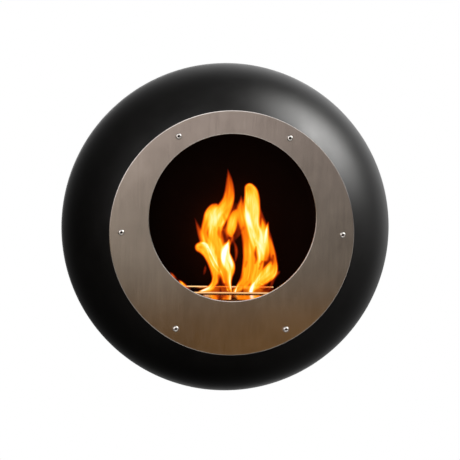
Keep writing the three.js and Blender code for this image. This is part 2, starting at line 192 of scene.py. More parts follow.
def rounded(points, closed=True, steps=4):
    """A line of (a, b) or (a, b, radius) with its corners rounded."""
    out = []
    n = len(points)
    for i, p in enumerate(points):
        rad = p[2] if len(p) > 2 else 0.0
        if rad <= 0 or (not closed and i in (0, n - 1)):
            out.append((p[0], p[1]))
            continue
        c = np.array(p[:2], float)
        a = np.array(points[i - 1][:2], float) - c
        b = np.array(points[(i + 1) % n][:2], float) - c
        la, lb = np.linalg.norm(a), np.linalg.norm(b)
        a, b = a / la, b / lb
        ang = math.acos(max(-1.0, min(1.0, float(a @ b))))
        if ang > PI - 1e-3 or ang < 1e-3:
            out.append((p[0], p[1]))
            continue
        t = min(rad / math.tan(ang / 2), 0.49 * la, 0.49 * lb)
        r = t * math.tan(ang / 2)
        mid = (a + b) / np.linalg.norm(a + b)
        centre = c + mid * (r / math.sin(ang / 2))
        s, e = c + a * t - centre, c + b * t - centre
        a0, a1 = math.atan2(s[1], s[0]), math.atan2(e[1], e[0])
        d = (a1 - a0 + PI) % (2 * PI) - PI
        for k in range(steps + 1):
            th = a0 + d * k / steps
            out.append((centre[0] + r * math.cos(th), centre[1] + r * math.sin(th)))
    return out


def spline(points, steps=8):
    """A smooth line through the points (Catmull-Rom)."""
    p = [np.array(q, float) for q in points]
    p = [2 * p[0] - p[1]] + p + [2 * p[-1] - p[-2]]
    out = []
    for i in range(1, len(p) - 2):
        for k in range(steps):
            t = k / steps
            out.append(
                tuple(
                    0.5
                    * (
                        2 * p[i]
                        + (p[i + 1] - p[i - 1]) * t
                        + (2 * p[i - 1] - 5 * p[i] + 4 * p[i + 1] - p[i + 2]) * t * t
                        + (3 * p[i] - p[i - 1] - 3 * p[i + 1] + p[i + 2]) * t**3
                    )
                )
            )
    out.append(tuple(p[-2]))
    return out


def shifted(line, d):
    """The line moved sideways by d, to the left of its direction."""
    out = []
    for i, p in enumerate(line):
        a, b = line[max(0, i - 1)], line[min(len(line) - 1, i + 1)]
        dx, dy = b[0] - a[0], b[1] - a[1]
        n = math.hypot(dx, dy)
        out.append((p[0] - dy / n * d, p[1] + dx / n * d))
    return out


def bezier(p, c, q, steps):
    out = []
    for i in range(1, steps + 1):
        t = i / steps
        out.append(
            tuple((1 - t) ** 2 * p[k] + 2 * t * (1 - t) * c[k] + t * t * q[k] for k in (0, 1))
        )
    return out


def spin(name, profile, n=256, centre=(0.0, 0.0), wave=None, smooth=30.0):
    """A closed profile of (radius, y) turned about an axis along Y. Ends at radius 0
    are poles. wave(i, k) may shift the radius of point i at step k."""
    verts, rings = [], []
    for i, (r, y) in enumerate(profile):
        if r < 1e-6:
            rings.append([len(verts)])
            verts.append((centre[0], y, centre[1]))
            continue
        ring = []
        for k in range(n):
            a = 2 * PI * k / n
            rr = r + (wave(i, k) if wave else 0.0)
            ring.append(len(verts))
            verts.append((centre[0] + rr * math.cos(a), y, centre[1] + rr * math.sin(a)))
        rings.append(ring)
    faces = []
    pairs = list(zip(rings, rings[1:]))
    if len(rings[0]) > 1 and len(rings[-1]) > 1:
        pairs.append((rings[-1], rings[0]))
    for a, b in pairs:
        for k in range(n):
            j = (k + 1) % n
            if len(a) == 1 and len(b) == 1:
                break
            if len(a) == 1:
                faces.append((a[0], b[k], b[j]))
            elif len(b) == 1:
                faces.append((a[k], b[0], a[j]))
            else:
                faces.append((a[k], b[k], b[j], a[j]))
    return new_object(name, verts, faces, smooth)


def circle(r, cx=0.0, cy=0.0, n=96):
    return [(cx + r * math.cos(2 * PI * k / n), cy + r * math.sin(2 * PI * k / n)) for k in range(n)]


def box_line(x0, x1, y0, y1, r=0.0, steps=6):
    return rounded([(x1, y1, r), (x0, y1, r), (x0, y0, r), (x1, y0, r)], steps=steps)


def obround(cx, cy, lx, ly, steps=12):
    r = min(lx, ly) / 2
    return box_line(cx - lx / 2, cx + lx / 2, cy - ly / 2, cy + ly / 2, r * 0.999, steps)


def flat(name, loops, axis, lo, hi, edge=0.3):
    """A flat plate with holes and rounded edges. loops are in (x, z) for axis y, and
    in (x, y) for axis z."""
    cu = bpy.data.curves.new(name, "CURVE")
    cu.dimensions = "2D"
    cu.fill_mode = "BOTH"
    cu.extrude = ((hi - lo) / 2 - edge) * MM
    cu.bevel_depth = edge * MM
    cu.bevel_resolution = 2
    cu.offset = -edge * MM
    for loop in loops:
        sp = cu.splines.new("POLY")
        sp.points.add(len(loop) - 1)
        for i, (u, v) in enumerate(loop):
            sp.points[i].co = (u * MM, v * MM, 0.0, 1.0)
        sp.use_cyclic_u = True
    tmp = bpy.data.objects.new(name + "_line", cu)
    SCENE.collection.objects.link(tmp)
    dg = bpy.context.evaluated_depsgraph_get()
    me = bpy.data.meshes.new_from_object(tmp.evaluated_get(dg))
    bpy.data.objects.remove(tmp)
    bpy.data.curves.remove(cu)
    mid = (lo + hi) / 2 * MM
    if axis == "y":
        m = Matrix(((1, 0, 0, 0), (0, 0, -1, mid), (0, 1, 0, 0), (0, 0, 0, 1)))
    else:
        m = Matrix.Translation((0, 0, mid))
    me.transform(m)
    bm = bmesh.new()
    bm.from_mesh(me)
    bmesh.ops.remove_doubles(bm, verts=bm.verts, dist=2e-6)
    bmesh.ops.dissolve_degenerate(bm, dist=1e-7, edges=bm.edges)
    bmesh.ops.recalc_face_normals(bm, faces=bm.faces)
    bm.to_mesh(me)
    bm.free()
    me.name = name
    ob = bpy.data.objects.new(name, me)
    SCENE.collection.objects.link(ob)
    shade(ob, 30.0)
    w = ob.modifiers.new("flats", "WEIGHTED_NORMAL")
    w.keep_sharp = True
    w.weight = 90
    return ob


def extrude(name, outline, axis, lo, hi, smooth=30.0):
    """An outline extruded. For axis x it is in (y, z), for y in (x, z), for z in (x, y)."""
    n = len(outline)

    def at(p, h):
        if axis == "x":
            return (h, p[0], p[1])
        if axis == "y":
            return (p[0], h, p[1])
        return (p[0], p[1], h)

    verts = [at(p, lo) for p in outline] + [at(p, hi) for p in outline]
    faces = [(i, (i + 1) % n, n + (i + 1) % n, n + i) for i in range(n)]
    faces += [tuple(range(n))[::-1], tuple(range(n, 2 * n))]
    return new_object(name, verts, faces, smooth)


def hex_screw(name, head_r, head_h, shank_r, length, socket_r, turn=0.0, n=48, flat_head=False):
    """Hex socket screw in a local frame: its head's underside at height 0, its head
    towards +Z, its shank towards -Z. Mesh in mm."""
    top = head_h
    rings = []  # (kind, size, height)
    depth = head_h * 0.9
    a = socket_r * math.cos(PI / 6)
    rings.append(("p", 0, top - depth - 1.3))
    rings.append(("h", a * 0.995, top - depth))
    rings.append(("h", a, top - 0.22))
    rings.append(("c", socket_r * 1.0 + 0.16, top))
    if flat_head:
        rings.append(("c", head_r - 0.15, top))
        rings.append(("c", head_r, top - 0.12))
        rings.append(("c", head_r, top - 0.35))
        rings.append(("c", shank_r, 0.0))
    else:
        # a low dome with a short rim, as button heads have
        for t in range(1, 9):
            s = t / 8
            r = socket_r + 0.16 + (head_r - socket_r - 0.16) * math.sin(s * PI / 2)
            h = top - (top - 0.55) * (1 - math.cos(s * PI / 2))
            rings.append(("c", r, h))
        rings.append(("c", head_r, 0.18))
        rings.append(("c", head_r - 0.18, 0.0))
        rings.append(("c", shank_r + 0.12, 0.0))
    rings.append(("c", shank_r, -0.12))
    rings.append(("c", shank_r, -length + 0.6))
    rings.append(("c", shank_r - 0.6, -length))
    rings.append(("p", 0, -length))
    verts, index = [], []
    for kind, size, h in rings:
        if kind == "p":
            index.append([len(verts)])
            verts.append((0.0, 0.0, h))
            continue
        ring = []
        for k in range(n):
            th = 2 * PI * k / n
            if kind == "h":
                f = (th % (PI / 3)) - PI / 6
                r = size / math.cos(f)
            else:
                r = size
            ring.append(len(verts))
            verts.append((r * math.cos(th + turn), r * math.sin(th + turn), h))
        index.append(ring)
    faces = []
    for p, q in zip(index, index[1:]):
        for k in range(n):
            j = (k + 1) % n
            if len(p) == 1:
                faces.append((p[0], q[k], q[j]))
            elif len(q) == 1:
                faces.append((p[k], q[0], p[j]))
            else:
                faces.append((p[k], q[k], q[j], p[j]))
    return new_object(name, verts, faces, 32.0)


def aim(ob, origin, axis):
    """Puts an object made along +Z at origin (mm), with its +Z turned to axis. The
    place goes into the mesh."""
    q = Vector((0, 0, 1)).rotation_difference(Vector(axis).normalized())
    ob.data.transform(Matrix.Translation(Vector(origin) * MM) @ q.to_matrix().to_4x4())
    ob.data.update()
    return ob


# ----------------------------------------------------------------- materials
class Mat:
    """A material with a Principled shader and short names for the nodes it uses."""

    def __init__(self, name, **values):
        self.m = bpy.data.materials.new(name)
        self.m.use_nodes = True
        self.t = self.m.node_tree
        self.t.nodes.clear()
        self.out = self.t.nodes.new("ShaderNodeOutputMaterial")
        self.p = self.t.nodes.new("ShaderNodeBsdfPrincipled")
        self.t.links.new(self.p.outputs[0], self.out.inputs[0])
        for k, v in values.items():
            self.p.inputs[k.replace("_", " ")].default_value = v
        self.place = self.t.nodes.new("ShaderNodeTexCoord")

    def node(self, kind, **props):
        n = self.t.nodes.new(kind)
        for k, v in props.items():
            setattr(n, k, v)
        return n

    def link(self, a, b):
        self.t.links.new(a, b)

    def coords(self, scale=(1, 1, 1), rotation=(0, 0, 0)):
        m = self.node("ShaderNodeMapping")
        m.inputs["Scale"].default_value = scale
        m.inputs["Rotation"].default_value = rotation
        self.link(self.place.outputs["Object"], m.inputs[0])
        return m.outputs[0]

    def noise(self, vector, scale, detail=3.0, rough=0.5, distortion=0.0):
        n = self.node("ShaderNodeTexNoise")
        n.inputs["Scale"].default_value = scale
        n.inputs["Detail"].default_value = detail
        n.inputs["Roughness"].default_value = rough
        n.inputs["Distortion"].default_value = distortion
        self.link(vector, n.inputs["Vector"])
        return n.outputs["Fac"]

    def span(self, value, lo, hi, to_lo=0.0, to_hi=1.0, smooth=False):
        n = self.node("ShaderNodeMapRange")
        if smooth:
            n.interpolation_type = "SMOOTHSTEP"
        n.inputs["From Min"].default_value = lo
        n.inputs["From Max"].default_value = hi
        n.inputs["To Min"].default_value = to_lo
        n.inputs["To Max"].default_value = to_hi
        self.link(value, n.inputs["Value"])
        return n.outputs["Result"]

    def math(self, op, a, b=None):
        n = self.node("ShaderNodeMath", operation=op)
        for i, v in enumerate((a, b)):
            if v is None:
                continue
            if isinstance(v, (int, float)):
                n.inputs[i].default_value = v
            else:
                self.link(v, n.inputs[i])
        return n.outputs[0]

    def ramp(self, fac, stops, mode="LINEAR"):
        n = self.node("ShaderNodeValToRGB")
        n.color_ramp.interpolation = mode
        e = n.color_ramp.elements
        while len(e) > 1:
            e.remove(e[-1])
        e[0].position, e[0].color = stops[0][0], (*stops[0][1], 1.0)
        for pos, col in stops[1:]:
            x = e.new(pos)
            x.color = (*col, 1.0)
        self.link(fac, n.inputs[0])
        return n.outputs[0]

    def bump(self, height, strength, distance, over=None):
        n = self.node("ShaderNodeBump")
        n.inputs["Strength"].default_value = strength
        n.inputs["Distance"].default_value = distance
        self.link(height, n.inputs["Height"])
        if over is not None:
            self.link(over, n.inputs["Normal"])
        return n.outputs[0]

    def to(self, socket, value):
        self.link(value, self.p.inputs[socket])
        return self


def painted(name, dark, light, rough, spread, grain=900.0, grain_depth=0.05, gloss=0.5):
    """Satin heat-resistant paint: a faint mottle, an orange-peel surface and fine
    speckled pigment."""
    m = Mat(name, Metallic=0.0)
    m.p.inputs["Specular IOR Level"].default_value = gloss
    c = m.coords()
    mottle = m.noise(c, 9.0, 4.0, 0.6)
    fine = m.noise(c, grain, 2.0, 0.6)
    m.to("Base Color", m.ramp(m.span(mottle, 0.3, 0.7), [(0.0, dark), (1.0, light)]))
    cloud = m.noise(c, 26.0, 3.0, 0.6)
    m.to("Roughness", m.span(cloud, 0.3, 0.7, rough - spread, rough + spread))
    peel = m.noise(c, 260.0, 2.0, 0.5)
    n = m.bump(peel, 0.10, 0.00025)
    m.to("Normal", m.bump(fine, grain_depth, 0.00012, over=n))
    return m.m


def brushed(name, stops, along, rough, spread, streak=0.10, anis=0.65, depth=0.05, tangent="Z", cloud=0.04,
            flame_glow=None, slot_wall_dark=None):
    """Brushed stainless steel. along gives the stretch of the grain in x, y and z. The
    next to last argument is (height in m where a painted warm reflection of the flames
    begins, height where it ends, colour). The last gives the heights between which the
    slot's rear wall is made darker."""
    m = Mat(name, Metallic=1.0)
    m.p.inputs["Anisotropic"].default_value = anis
    t = m.node("ShaderNodeTangent", direction_type="RADIAL", axis=tangent)
    m.to("Tangent", t.outputs[0])
    fine = m.noise(m.coords(along), 1.0, 5.0, 0.62)
    coarse = m.noise(m.coords(tuple(a * 0.17 + 2.0 for a in along)), 1.0, 4.0, 0.6)
    broad = m.noise(m.coords((1.0, 1.0, 0.7)), 11.0, 4.0, 0.58, 0.5)
    small = m.noise(m.coords((1.0, 1.0, 0.45)), 60.0, 3.0, 0.6)
    tone = m.math("ADD", m.span(fine, 0.25, 0.75, -streak, streak), m.span(coarse, 0.3, 0.7, -streak * 0.45, streak * 0.45))
    tone = m.math("ADD", tone, m.span(broad, 0.3, 0.7, -cloud, cloud))
    tone = m.math("ADD", tone, m.span(small, 0.3, 0.7, -cloud * 0.4, cloud * 0.4))
    colour = m.ramp(m.span(tone, -0.3, 0.3), stops)
    # painted warm reflection of the flames: above the given height the steel's colour is multiplied by an orange hue
    if flame_glow:
        low, high, glow_hue = flame_glow
        split = m.node("ShaderNodeSeparateXYZ")
        m.link(m.place.outputs["Object"], split.inputs[0])
        over = m.node("ShaderNodeMix", data_type="RGBA", blend_type="MULTIPLY")
        m.link(m.span(split.outputs[2], low, high), over.inputs[0])
        m.link(colour, over.inputs[6])
        m.link(m.ramp(broad, [(0.3, glow_hue), (0.7, tuple(min(1.0, h * 1.35) for h in glow_hue))]), over.inputs[7])
        colour = over.outputs[2]
    # the slot's rear wall, at y above -0.0975, is made darker between the given heights
    if slot_wall_dark:
        dark = m.node("ShaderNodeMix", data_type="RGBA", blend_type="MULTIPLY")
        part = m.node("ShaderNodeSeparateXYZ")
        m.link(m.place.outputs["Object"], part.inputs[0])
        low = m.math("MULTIPLY", m.span(part.outputs[2], slot_wall_dark[0], slot_wall_dark[1]), m.span(part.outputs[2], slot_wall_dark[3], slot_wall_dark[2]))
        m.link(m.math("MULTIPLY", low, m.span(part.outputs[1], -0.0985, -0.0975)), dark.inputs[0])
        m.link(colour, dark.inputs[6])
        dark.inputs[7].default_value = (0.16, 0.07, 0.05, 1.0)
        colour = dark.outputs[2]
    m.to("Base Color", colour)
    m.to("Roughness", m.span(m.math("ADD", fine, m.math("MULTIPLY", small, 0.5)), 0.5, 1.0, rough - spread, rough + spread))
    m.to("Normal", m.bump(fine, depth, 0.00006))
    return m.m


def metal(name, colour, light, rough, spread, scale=420.0):
    """Plated or polished hardware with faint scuffs."""
    m = Mat(name, Metallic=1.0)
    c = m.coords()
    scuff = m.noise(c, scale, 4.0, 0.65, 0.6)
    tone = m.noise(c, 60.0, 2.0, 0.5)
    m.to("Base Color", m.ramp(m.span(tone, 0.3, 0.7), [(0.0, colour), (1.0, light)]))
    m.to("Roughness", m.span(scuff, 0.3, 0.7, rough - spread, rough + spread))
    m.to("Normal", m.bump(scuff, 0.04, 0.0001))
    return m.m


SHELL = painted("shell_black", (0.0042, 0.0040, 0.0038), (0.0068, 0.0065, 0.0062), 0.33, 0.03, gloss=1.0)
LINER = painted("liner_black", (0.0036, 0.0016, 0.0011), (0.0066, 0.0032, 0.0024), 0.36, 0.05, gloss=0.09)
for n in LINER.node_tree.nodes:
    if n.type == "BSDF_PRINCIPLED":
        n.inputs["Specular Tint"].default_value = (1.0, 0.45, 0.32, 1.0)
BRACKET = painted("bracket_black", (0.016, 0.016, 0.0165), (0.022, 0.022, 0.0225), 0.55, 0.05, grain=520.0, grain_depth=0.16)
FACE = brushed(
    "face_steel",
    [(0.0, (0.43, 0.397, 0.364)), (0.5, (0.56, 0.519, 0.481)), (1.0, (0.685, 0.643, 0.60))],
    (1250.0, 300.0, 13.0), 0.20, 0.02, streak=0.085, anis=1.0, tangent="Z", cloud=0.13,
)
BURNER = brushed(
    "burner_steel",
    [(0.0, (0.52, 0.49, 0.46)), (0.5, (0.66, 0.63, 0.595)), (1.0, (0.78, 0.75, 0.715))],
    (1300.0, 22.0, 300.0), 0.13, 0.03, streak=0.08, anis=0.3, tangent="Y", depth=0.02,
    # painted warm reflection of the flames on the lid, the lips and the guides above z -0.1193
    flame_glow=(-0.1199, -0.1193, (0.95, 0.50, 0.22)), slot_wall_dark=(-0.160, -0.126, -0.1174, -0.1166),
)
POLISHED = metal("polished_steel", (0.86, 0.84, 0.81), (0.94, 0.92, 0.89), 0.15, 0.04)
ZINC = metal("zinc_steel", (0.47, 0.48, 0.485), (0.60, 0.61, 0.62), 0.36, 0.07, 260.0)


def rubber():
    m = Mat("rubber", Metallic=0.0)
    c = m.coords()
    m.to("Base Color", m.ramp(m.noise(c, 70.0, 3.0), [(0.3, (0.012, 0.012, 0.012)), (0.7, (0.024, 0.024, 0.023))]))
    g = m.noise(c, 700.0, 3.0, 0.6)
    m.to("Roughness", m.span(g, 0.3, 0.7, 0.62, 0.86))
    m.to("Normal", m.bump(g, 0.12, 0.0002))
    return m.m


def woven():
    m = Mat("gasket", Metallic=0.0, Roughness=0.93)
    m.p.inputs["Sheen Weight"].default_value = 0.25
    c = m.coords()
    w = m.node("ShaderNodeTexWave", wave_type="BANDS", bands_direction="DIAGONAL")
    w.inputs["Scale"].default_value = 420.0
    w.inputs["Distortion"].default_value = 1.5
    m.link(c, w.inputs["Vector"])
    m.to("Base Color", m.ramp(w.outputs["Fac"], [(0.0, (0.008, 0.008, 0.008)), (1.0, (0.035, 0.034, 0.033))]))
    m.to("Normal", m.bump(w.outputs["Fac"], 0.5, 0.0003))
    return m.m


def wool():
    m = Mat("ceramic_wool", Metallic=0.0, Roughness=1.0)
    m.p.inputs["Sheen Weight"].default_value = 0.3
    c = m.coords((1.0, 1.0, 2.5))
    f = m.noise(c, 260.0, 6.0, 0.7, 2.5)
    g = m.noise(c, 40.0, 3.0, 0.5)
    m.to("Base Color", m.ramp(m.math("ADD", m.math("MULTIPLY", f, 0.6), m.math("MULTIPLY", g, 0.4)),
                              [(0.25, (0.50, 0.47, 0.41)), (0.55, (0.74, 0.72, 0.67)), (0.8, (0.86, 0.85, 0.81))]))
    m.to("Normal", m.bump(f, 0.6, 0.0008))
    return m.m


RUBBER, GASKET, WOOL = rubber(), woven(), wool()
# painted shade for the inside of hex sockets
SOCKET = metal("socket_shadow", (0.012, 0.011, 0.010), (0.030, 0.028, 0.026), 0.55, 0.08, 700.0)


def dress(ob, material, body, nodes=()):
    ob.data.materials.clear()
    ob.data.materials.append(material)
    for p in ob.data.polygons:
        p.material_index = 0
    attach(ob, body)
    if nodes:
        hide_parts(*nodes)
    return ob


def socket(ob, n=48):
    """Gives the faces of a screw's hex socket a dark material: painted shade inside the recess."""
    ob.data.materials.append(SOCKET)
    for p in ob.data.polygons[: 2 * n]:
        p.material_index = 1


# -------------------------------------------------------------------- shells
BALL_R, BALL_C, EQ = 300.0, 195.0, -137.0


def ellipse(t):
    return (BALL_R * math.cos(t), EQ + BALL_C * math.sin(t))


def inside(t, d):
    """The point d inside the ellipse, square to it."""
    nx, ny = math.cos(t) / BALL_R, math.sin(t) / BALL_C
    n = math.hypot(nx, ny)
    x, y = ellipse(t)
    return (x - nx / n * d, y - ny / n * d)


SEAM_ANGLES = (30, 90, 150, 210, 270, 330)


def front_shell():
    t0, t1 = math.asin((-123.2 - EQ) / BALL_C), math.radians(-44.5)
    ts = [t0 + (t1 - t0) * k / 60 for k in range(61)]
    outer = [ellipse(t) for t in ts]
    edge = outer[-1]
    outer += bezier(edge, (206.3, -278.8), (199.0, -278.8), 10)
    inner = [inside(t, 2.0) for t in ts]
    inner[0] = (ellipse(t0)[0] - 2.0, -123.2)
    e = inner[-1]
    inner += bezier(e, (205.6, -276.8), (198.5, -276.8), 10)
    first, last = outer[0], inner[0]
    line = rounded(
        [(first[0], first[1], 0.45)]
        + outer[1:]
        + [(177.5, -278.8, 0.7), (177.5, -276.8, 0.7)]
        + inner[:0:-1]
        + [(last[0], last[1], 0.45)],
        steps=3,
    )
    ob = spin("front_shell_skin", line, 288)
    cutters = []
    for a in SEAM_ANGLES:
        th = math.radians(a)
        c = spin("c", [(0, -8), (3.95, -8), (3.95, 8), (0, 8)], 24)
        aim_y(c, (300 * math.cos(th), -129.0, 300 * math.sin(th)), (math.cos(th), 0, math.sin(th)))
        cutters.append(c)
    for k in range(6):
        th = k * PI / 3
        cutters.append(spin("c", [(0, -285), (3.4, -285), (3.4, -270), (0, -270)], 24,
                            (192 * math.cos(th), 192 * math.sin(th))))
    combine(ob, [joined("cutters", cutters)])
    return dress(ob, SHELL, "pod", ("front_shell", "front_flange"))


def aim_y(ob, origin, axis):
    """Turns a shape made along Y so that its Y lies along axis, at origin in mm."""
    q = Vector((0, 1, 0)).rotation_difference(Vector(axis).normalized())
    ob.data.transform(Matrix.Translation(Vector(origin) * MM) @ q.to_matrix().to_4x4())
    ob.data.update()
    return ob


BACK_BOLTS = [(130 * math.cos(math.radians(a)), 130 * math.sin(math.radians(a))) for a in (30, 150, 210, 330)]
RAIL_X = (-85.0, 0.0, 85.0)
RAIL_Z = 154.0


def rear_shell():
    t0, t1 = math.asin((-122.8 - EQ) / BALL_C), math.radians(33.0)
    ts = [t0 + (t1 - t0) * k / 48 for k in range(49)]
    outer = [ellipse(t) for t in ts]
    outer += bezier(outer[-1], (240.8, -20.0), (230.0, -20.0), 12)
    inner = [inside(t, 2.0) for t in ts[4:]]
    inner += bezier(inner[-1], (240.0, -22.0), (229.5, -22.0), 12)
    first = outer[0]
    line = rounded(
        [(0.0, -20.0)]
        + [(60.0, -20.0), (120.0, -20.0), (180.0, -20.0)]
        + outer[:0:-1]
        + [(first[0], first[1], 0.45), (296.8, -122.8), (296.8, -135.0, 0.6), (294.8, -135.0, 0.6), (294.8, -120.0)]
        + inner
        + [(180.0, -22.0), (120.0, -22.0), (60.0, -22.0), (0.0, -22.0)],
        closed=False,
        steps=3,
    )
    ob = spin("rear_shell_skin", line, 288)
    cutters = []
    for x, z in BACK_BOLTS:
        cutters.append(spin("c", [(0, -30), (3.4, -30), (3.4, -10), (0, -10)], 24, (x, z)))
    for x in RAIL_X:
        cutters.append(spin("c", [(0, -30), (3.4, -30), (3.4, -10), (0, -10)], 24, (x, RAIL_Z)))
    for x in (-72, 72):
        cutters.append(spin("c", [(0, -30), (4.4, -30), (4.4, -10), (0, -10)], 24, (x, -92)))
    for z in (-178, 192):
        for x in (-76, -38, 0, 38, 76):
            cutters.append(extrude("c", obround(x, z, 26, 8, 8), "y", -30, -10))
    combine(ob, [joined("cutters", cutters)])
    return dress(ob, SHELL, "pod", ("rear_shell",))


front_shell()
rear_shell()

for i, a in enumerate(SEAM_ANGLES):
    th = math.radians(a)
    s = hex_screw(f"seam_screw_head_{i + 1}", 3.7, 1.75, 2.0, 9.0, 1.35, turn=0.35 * i + 0.2, n=36, flat_head=True)
    d = (math.cos(th), 0.0, math.sin(th))
    r = 299.62 - 1.75
    aim(s, (r * d[0], -129.0, r * d[2]), d)
    dress(s, ZINC, "pod", (f"seam_screw_{i + 1}",))
    socket(s, 36)

# ---------------------------------------------------------------- face plate
SCREW_R = 192.0
SCREW_AT = [(SCREW_R * math.cos(k * PI / 3), SCREW_R * math.sin(k * PI / 3)) for k in range(6)]


def face_plate():
    """Two off-centre circles with a small bevel on their front edges, and six screw
    holes."""
    n = 360
    bevel = [(1.3, 0.0), (1.12, 0.03), (0.12, 0.44), (0.0, 0.62)]
    back = [(0.0, 0.3), (0.09, 0.09), (0.3, 0.0)]
    front, rear = -283.4, -280.4
    rings = []  # (radius, height of the circle's centre, y)
    rings += [(212.5 - d, 0.0, front + e) for d, e in bevel]
    rings += [(212.5 - d, 0.0, rear - e) for d, e in back]
    rings += [(145.0 + d, 27.5, rear - e) for d, e in back[::-1]]
    rings += [(145.0 + d, 27.5, front + e) for d, e in bevel[::-1]]
    verts = []
    for r, cz, y in rings:
        for k in range(n):
            a = 2 * PI * k / n
            verts.append((r * math.cos(a), y, cz + r * math.sin(a)))
    m = len(rings)
    faces = []
    for i in range(m):
        j = (i + 1) % m
        for k in range(n):
            q = (k + 1) % n
            faces.append((i * n + k, j * n + k, j * n + q, i * n + q))
    ob = new_object("face_plate_brushed", verts, faces, 30.0)
    holes = [spin("c", [(0, -290), (3.4, -290), (3.4, -275), (0, -275)], 32, at) for at in SCREW_AT]
    combine(ob, [joined("cutters", holes)])
    w = ob.modifiers.new("flats", "WEIGHTED_NORMAL")
    w.keep_sharp = True
    w.weight = 95
    return dress(ob, FACE, "pod", ("face_plate",))


face_plate()

for i, (x, z) in enumerate(SCREW_AT):
    s = hex_screw(f"face_screw_head_{i + 1}", 5.25, 3.05, 3.0, 16.5, 2.3, turn=(0.21, 0.82, 0.09, 0.57, 0.37, 0.95)[i])
    aim(s, (x, -283.6, z), (0, -1, 0))
    dress(s, POLISHED, "pod", (f"face_screw_{i + 1}",))
    socket(s)


def gasket():
    line = rounded([(207.0, -280.2, 0.5), (207.0, -279.0, 0.5), (180.0, -279.0, 0.5), (180.0, -280.2, 0.5)], steps=3)
    ob = spin("face_gasket_tape", line, 720, wave=lambda i, k: 0.35 * math.sin(PI * k / 2 + i))
    return dress(ob, GASKET, "pod", ("face_gasket",))


gasket()

# --------------------------------------------------------------------- liner
LINER_LINE = [(176, -275.1), (209, -243), (226, -215), (237, -182), (239.5, -140.2)]
REAR_LINE = [(239.4, -138), (233, -97), (219, -74), (196, -62), (170, -58)]


def liner_front():
    line = spline(LINER_LINE, 10)
    outer = shifted(line, -1.5)
    if outer[5][0] < line[5][0]:
        outer = shifted(line, 1.5)
    outer = [p for p in outer if p[1] > -274.9]
    prof = rounded(
        [(198.6, -276.6, 0.5), (176.0, -276.6, 1.2), (176.0, -275.1)]
        + line[1:-1]
        + [(line[-1][0], line[-1][1], 0.4), (outer[-1][0], line[-1][1], 0.4)]
        + outer[-2::-1]
        + [(179.0, -275.1), (198.6, -275.1, 0.5)],
        steps=3,
    )
    ob = spin("liner_front_skin", prof, 240)
    return dress(ob, LINER, "pod", ("liner_throat", "liner_front", "liner_middle"))


def liner_rear():
    line = spline(REAR_LINE, 8)
    outer = shifted(line, -1.5)
    if outer[6][0] < line[6][0]:
        outer = shifted(line, 1.5)
    prof = rounded(
        [(0.0, -58.0), (60.0, -58.0), (120.0, -58.0)]
        + line[::-1][:-1]
        + [(239.4, -138.0), (241.8, -139.7), (241.8, -151.0, 0.4), (243.3, -151.0, 0.4), (243.3, -139.0), (241.1, -136.6)]
        + outer[3:-1]
        + [(170.0, -56.5), (120.0, -56.5), (60.0, -56.5), (0.0, -56.5)],
        closed=False,
        steps=3,
    )
    parts = [spin("l", prof, 240)]
    for x, z in BACK_BOLTS:
        parts.append(spin("b", rounded([(3.4, -56.4), (7, -56.4), (7, -40.3, 0.6), (3.4, -40.3, 0.6)]), 40, (x, z)))
    ob = joined("liner_rear_skin", parts)
    return dress(ob, LINER, "pod", ("liner_rear", "liner_back"))


liner_front()
liner_rear()

# -------------------------------------------------------------------- hearth
FULL_LINE = spline(LINER_LINE, 12) + spline(REAR_LINE, 12)


def liner_radius(y):
    ys = [p[1] for p in FULL_LINE]
    rs = [p[0] for p in FULL_LINE]
    return float(np.interp(y, ys, rs))


def hearth():
    right = []
    for y in np.linspace(-266.0, -66.0, 61):
        right.append((math.sqrt(liner_radius(y) ** 2 - 127.0**2) - 1.4, float(y)))
    outline = right + [(-x, y) for x, y in right[::-1]]
    loops = [outline, box_line(-116, 116, -196, -86, 2.0)]
    loops += [circle(2.9, x, -137.0, 24) for x in (-183.0, 183.0)]
    ob = flat("hearth_plate_skin", loops, "z", -125.3, -123.3, edge=0.3)
    dress(ob, LINER, "pod", ("hearth_plate",))
    for side, x in (("left", -183.0), ("right", 183.0)):
        s = hex_screw(f"hearth_screw_head_{side}", 4.75, 2.7, 2.5, 16.0, 1.7, turn=0.3 if x < 0 else 0.8)
        aim(s, (x, -137.0, -123.1), (0, 0, 1))
        dress(s, LINER, "pod", (f"hearth_screw_{side}",))


hearth()

# -------------------------------------------------------------------- burner


def deck():
    ob = flat("burner_deck_plate", [box_line(-130, 130, -267, -77, 8.0, 10), box_line(-95, 95, -177, -96.2, 3.0)],
              "z", -123.0, -121.0, edge=0.35)
    prof = rounded(
        [(-97.0, -122.4), (-95.5, -122.4), (-95.5, -115.6, 0.5), (-94.2, -114.9, 0.7), (-94.2, -113.0, 0.7),
         (-95.9, -112.7, 0.35), (-97.0, -115.05, 0.25)],
        steps=4,
    )
    lip = extrude("lip", prof, "x", -94.6, 94.6, 25.0)
    settle(ob)
    ob = joined("burner_deck_fine", [ob, lip])
    w = ob.modifiers.new("flats", "WEIGHTED_NORMAL")
    w.keep_sharp = True
    return dress(ob, BURNER, "burner", ("burner_deck",))


def lid():
    plate = extrude("lid", box_line(-101.5, 101.5, -264.5, -178.2, 1.5, 4), "z", -120.7, -119.2)
    lip = extrude(
        "lip",
        rounded(
            [(-181.0, -120.7), (-177.0, -120.7, 1.6), (-177.0, -114.2, 0.5), (-177.9, -114.2, 0.25),
             (-179.05, -116.65, 0.2), (-178.5, -116.9, 0.15), (-178.5, -117.3), (-181.0, -117.3)],
            steps=4,
        ),
        "x", -95.0, 95.0, 25.0,
    )
    pan = extrude("pan", box_line(-94.4, 94.4, -262.0, -177.6, 3.0, 6), "z", -119.6, -117.15)
    combine(plate, [pan], "UNION")
    combine(plate, [lip], "UNION")
    plate.name = "snuffer_lid_fine"
    soften(plate, 0.2, 2, 60.0)
    return dress(plate, BURNER, "lid", ("snuffer_lid",))


deck()
lid()

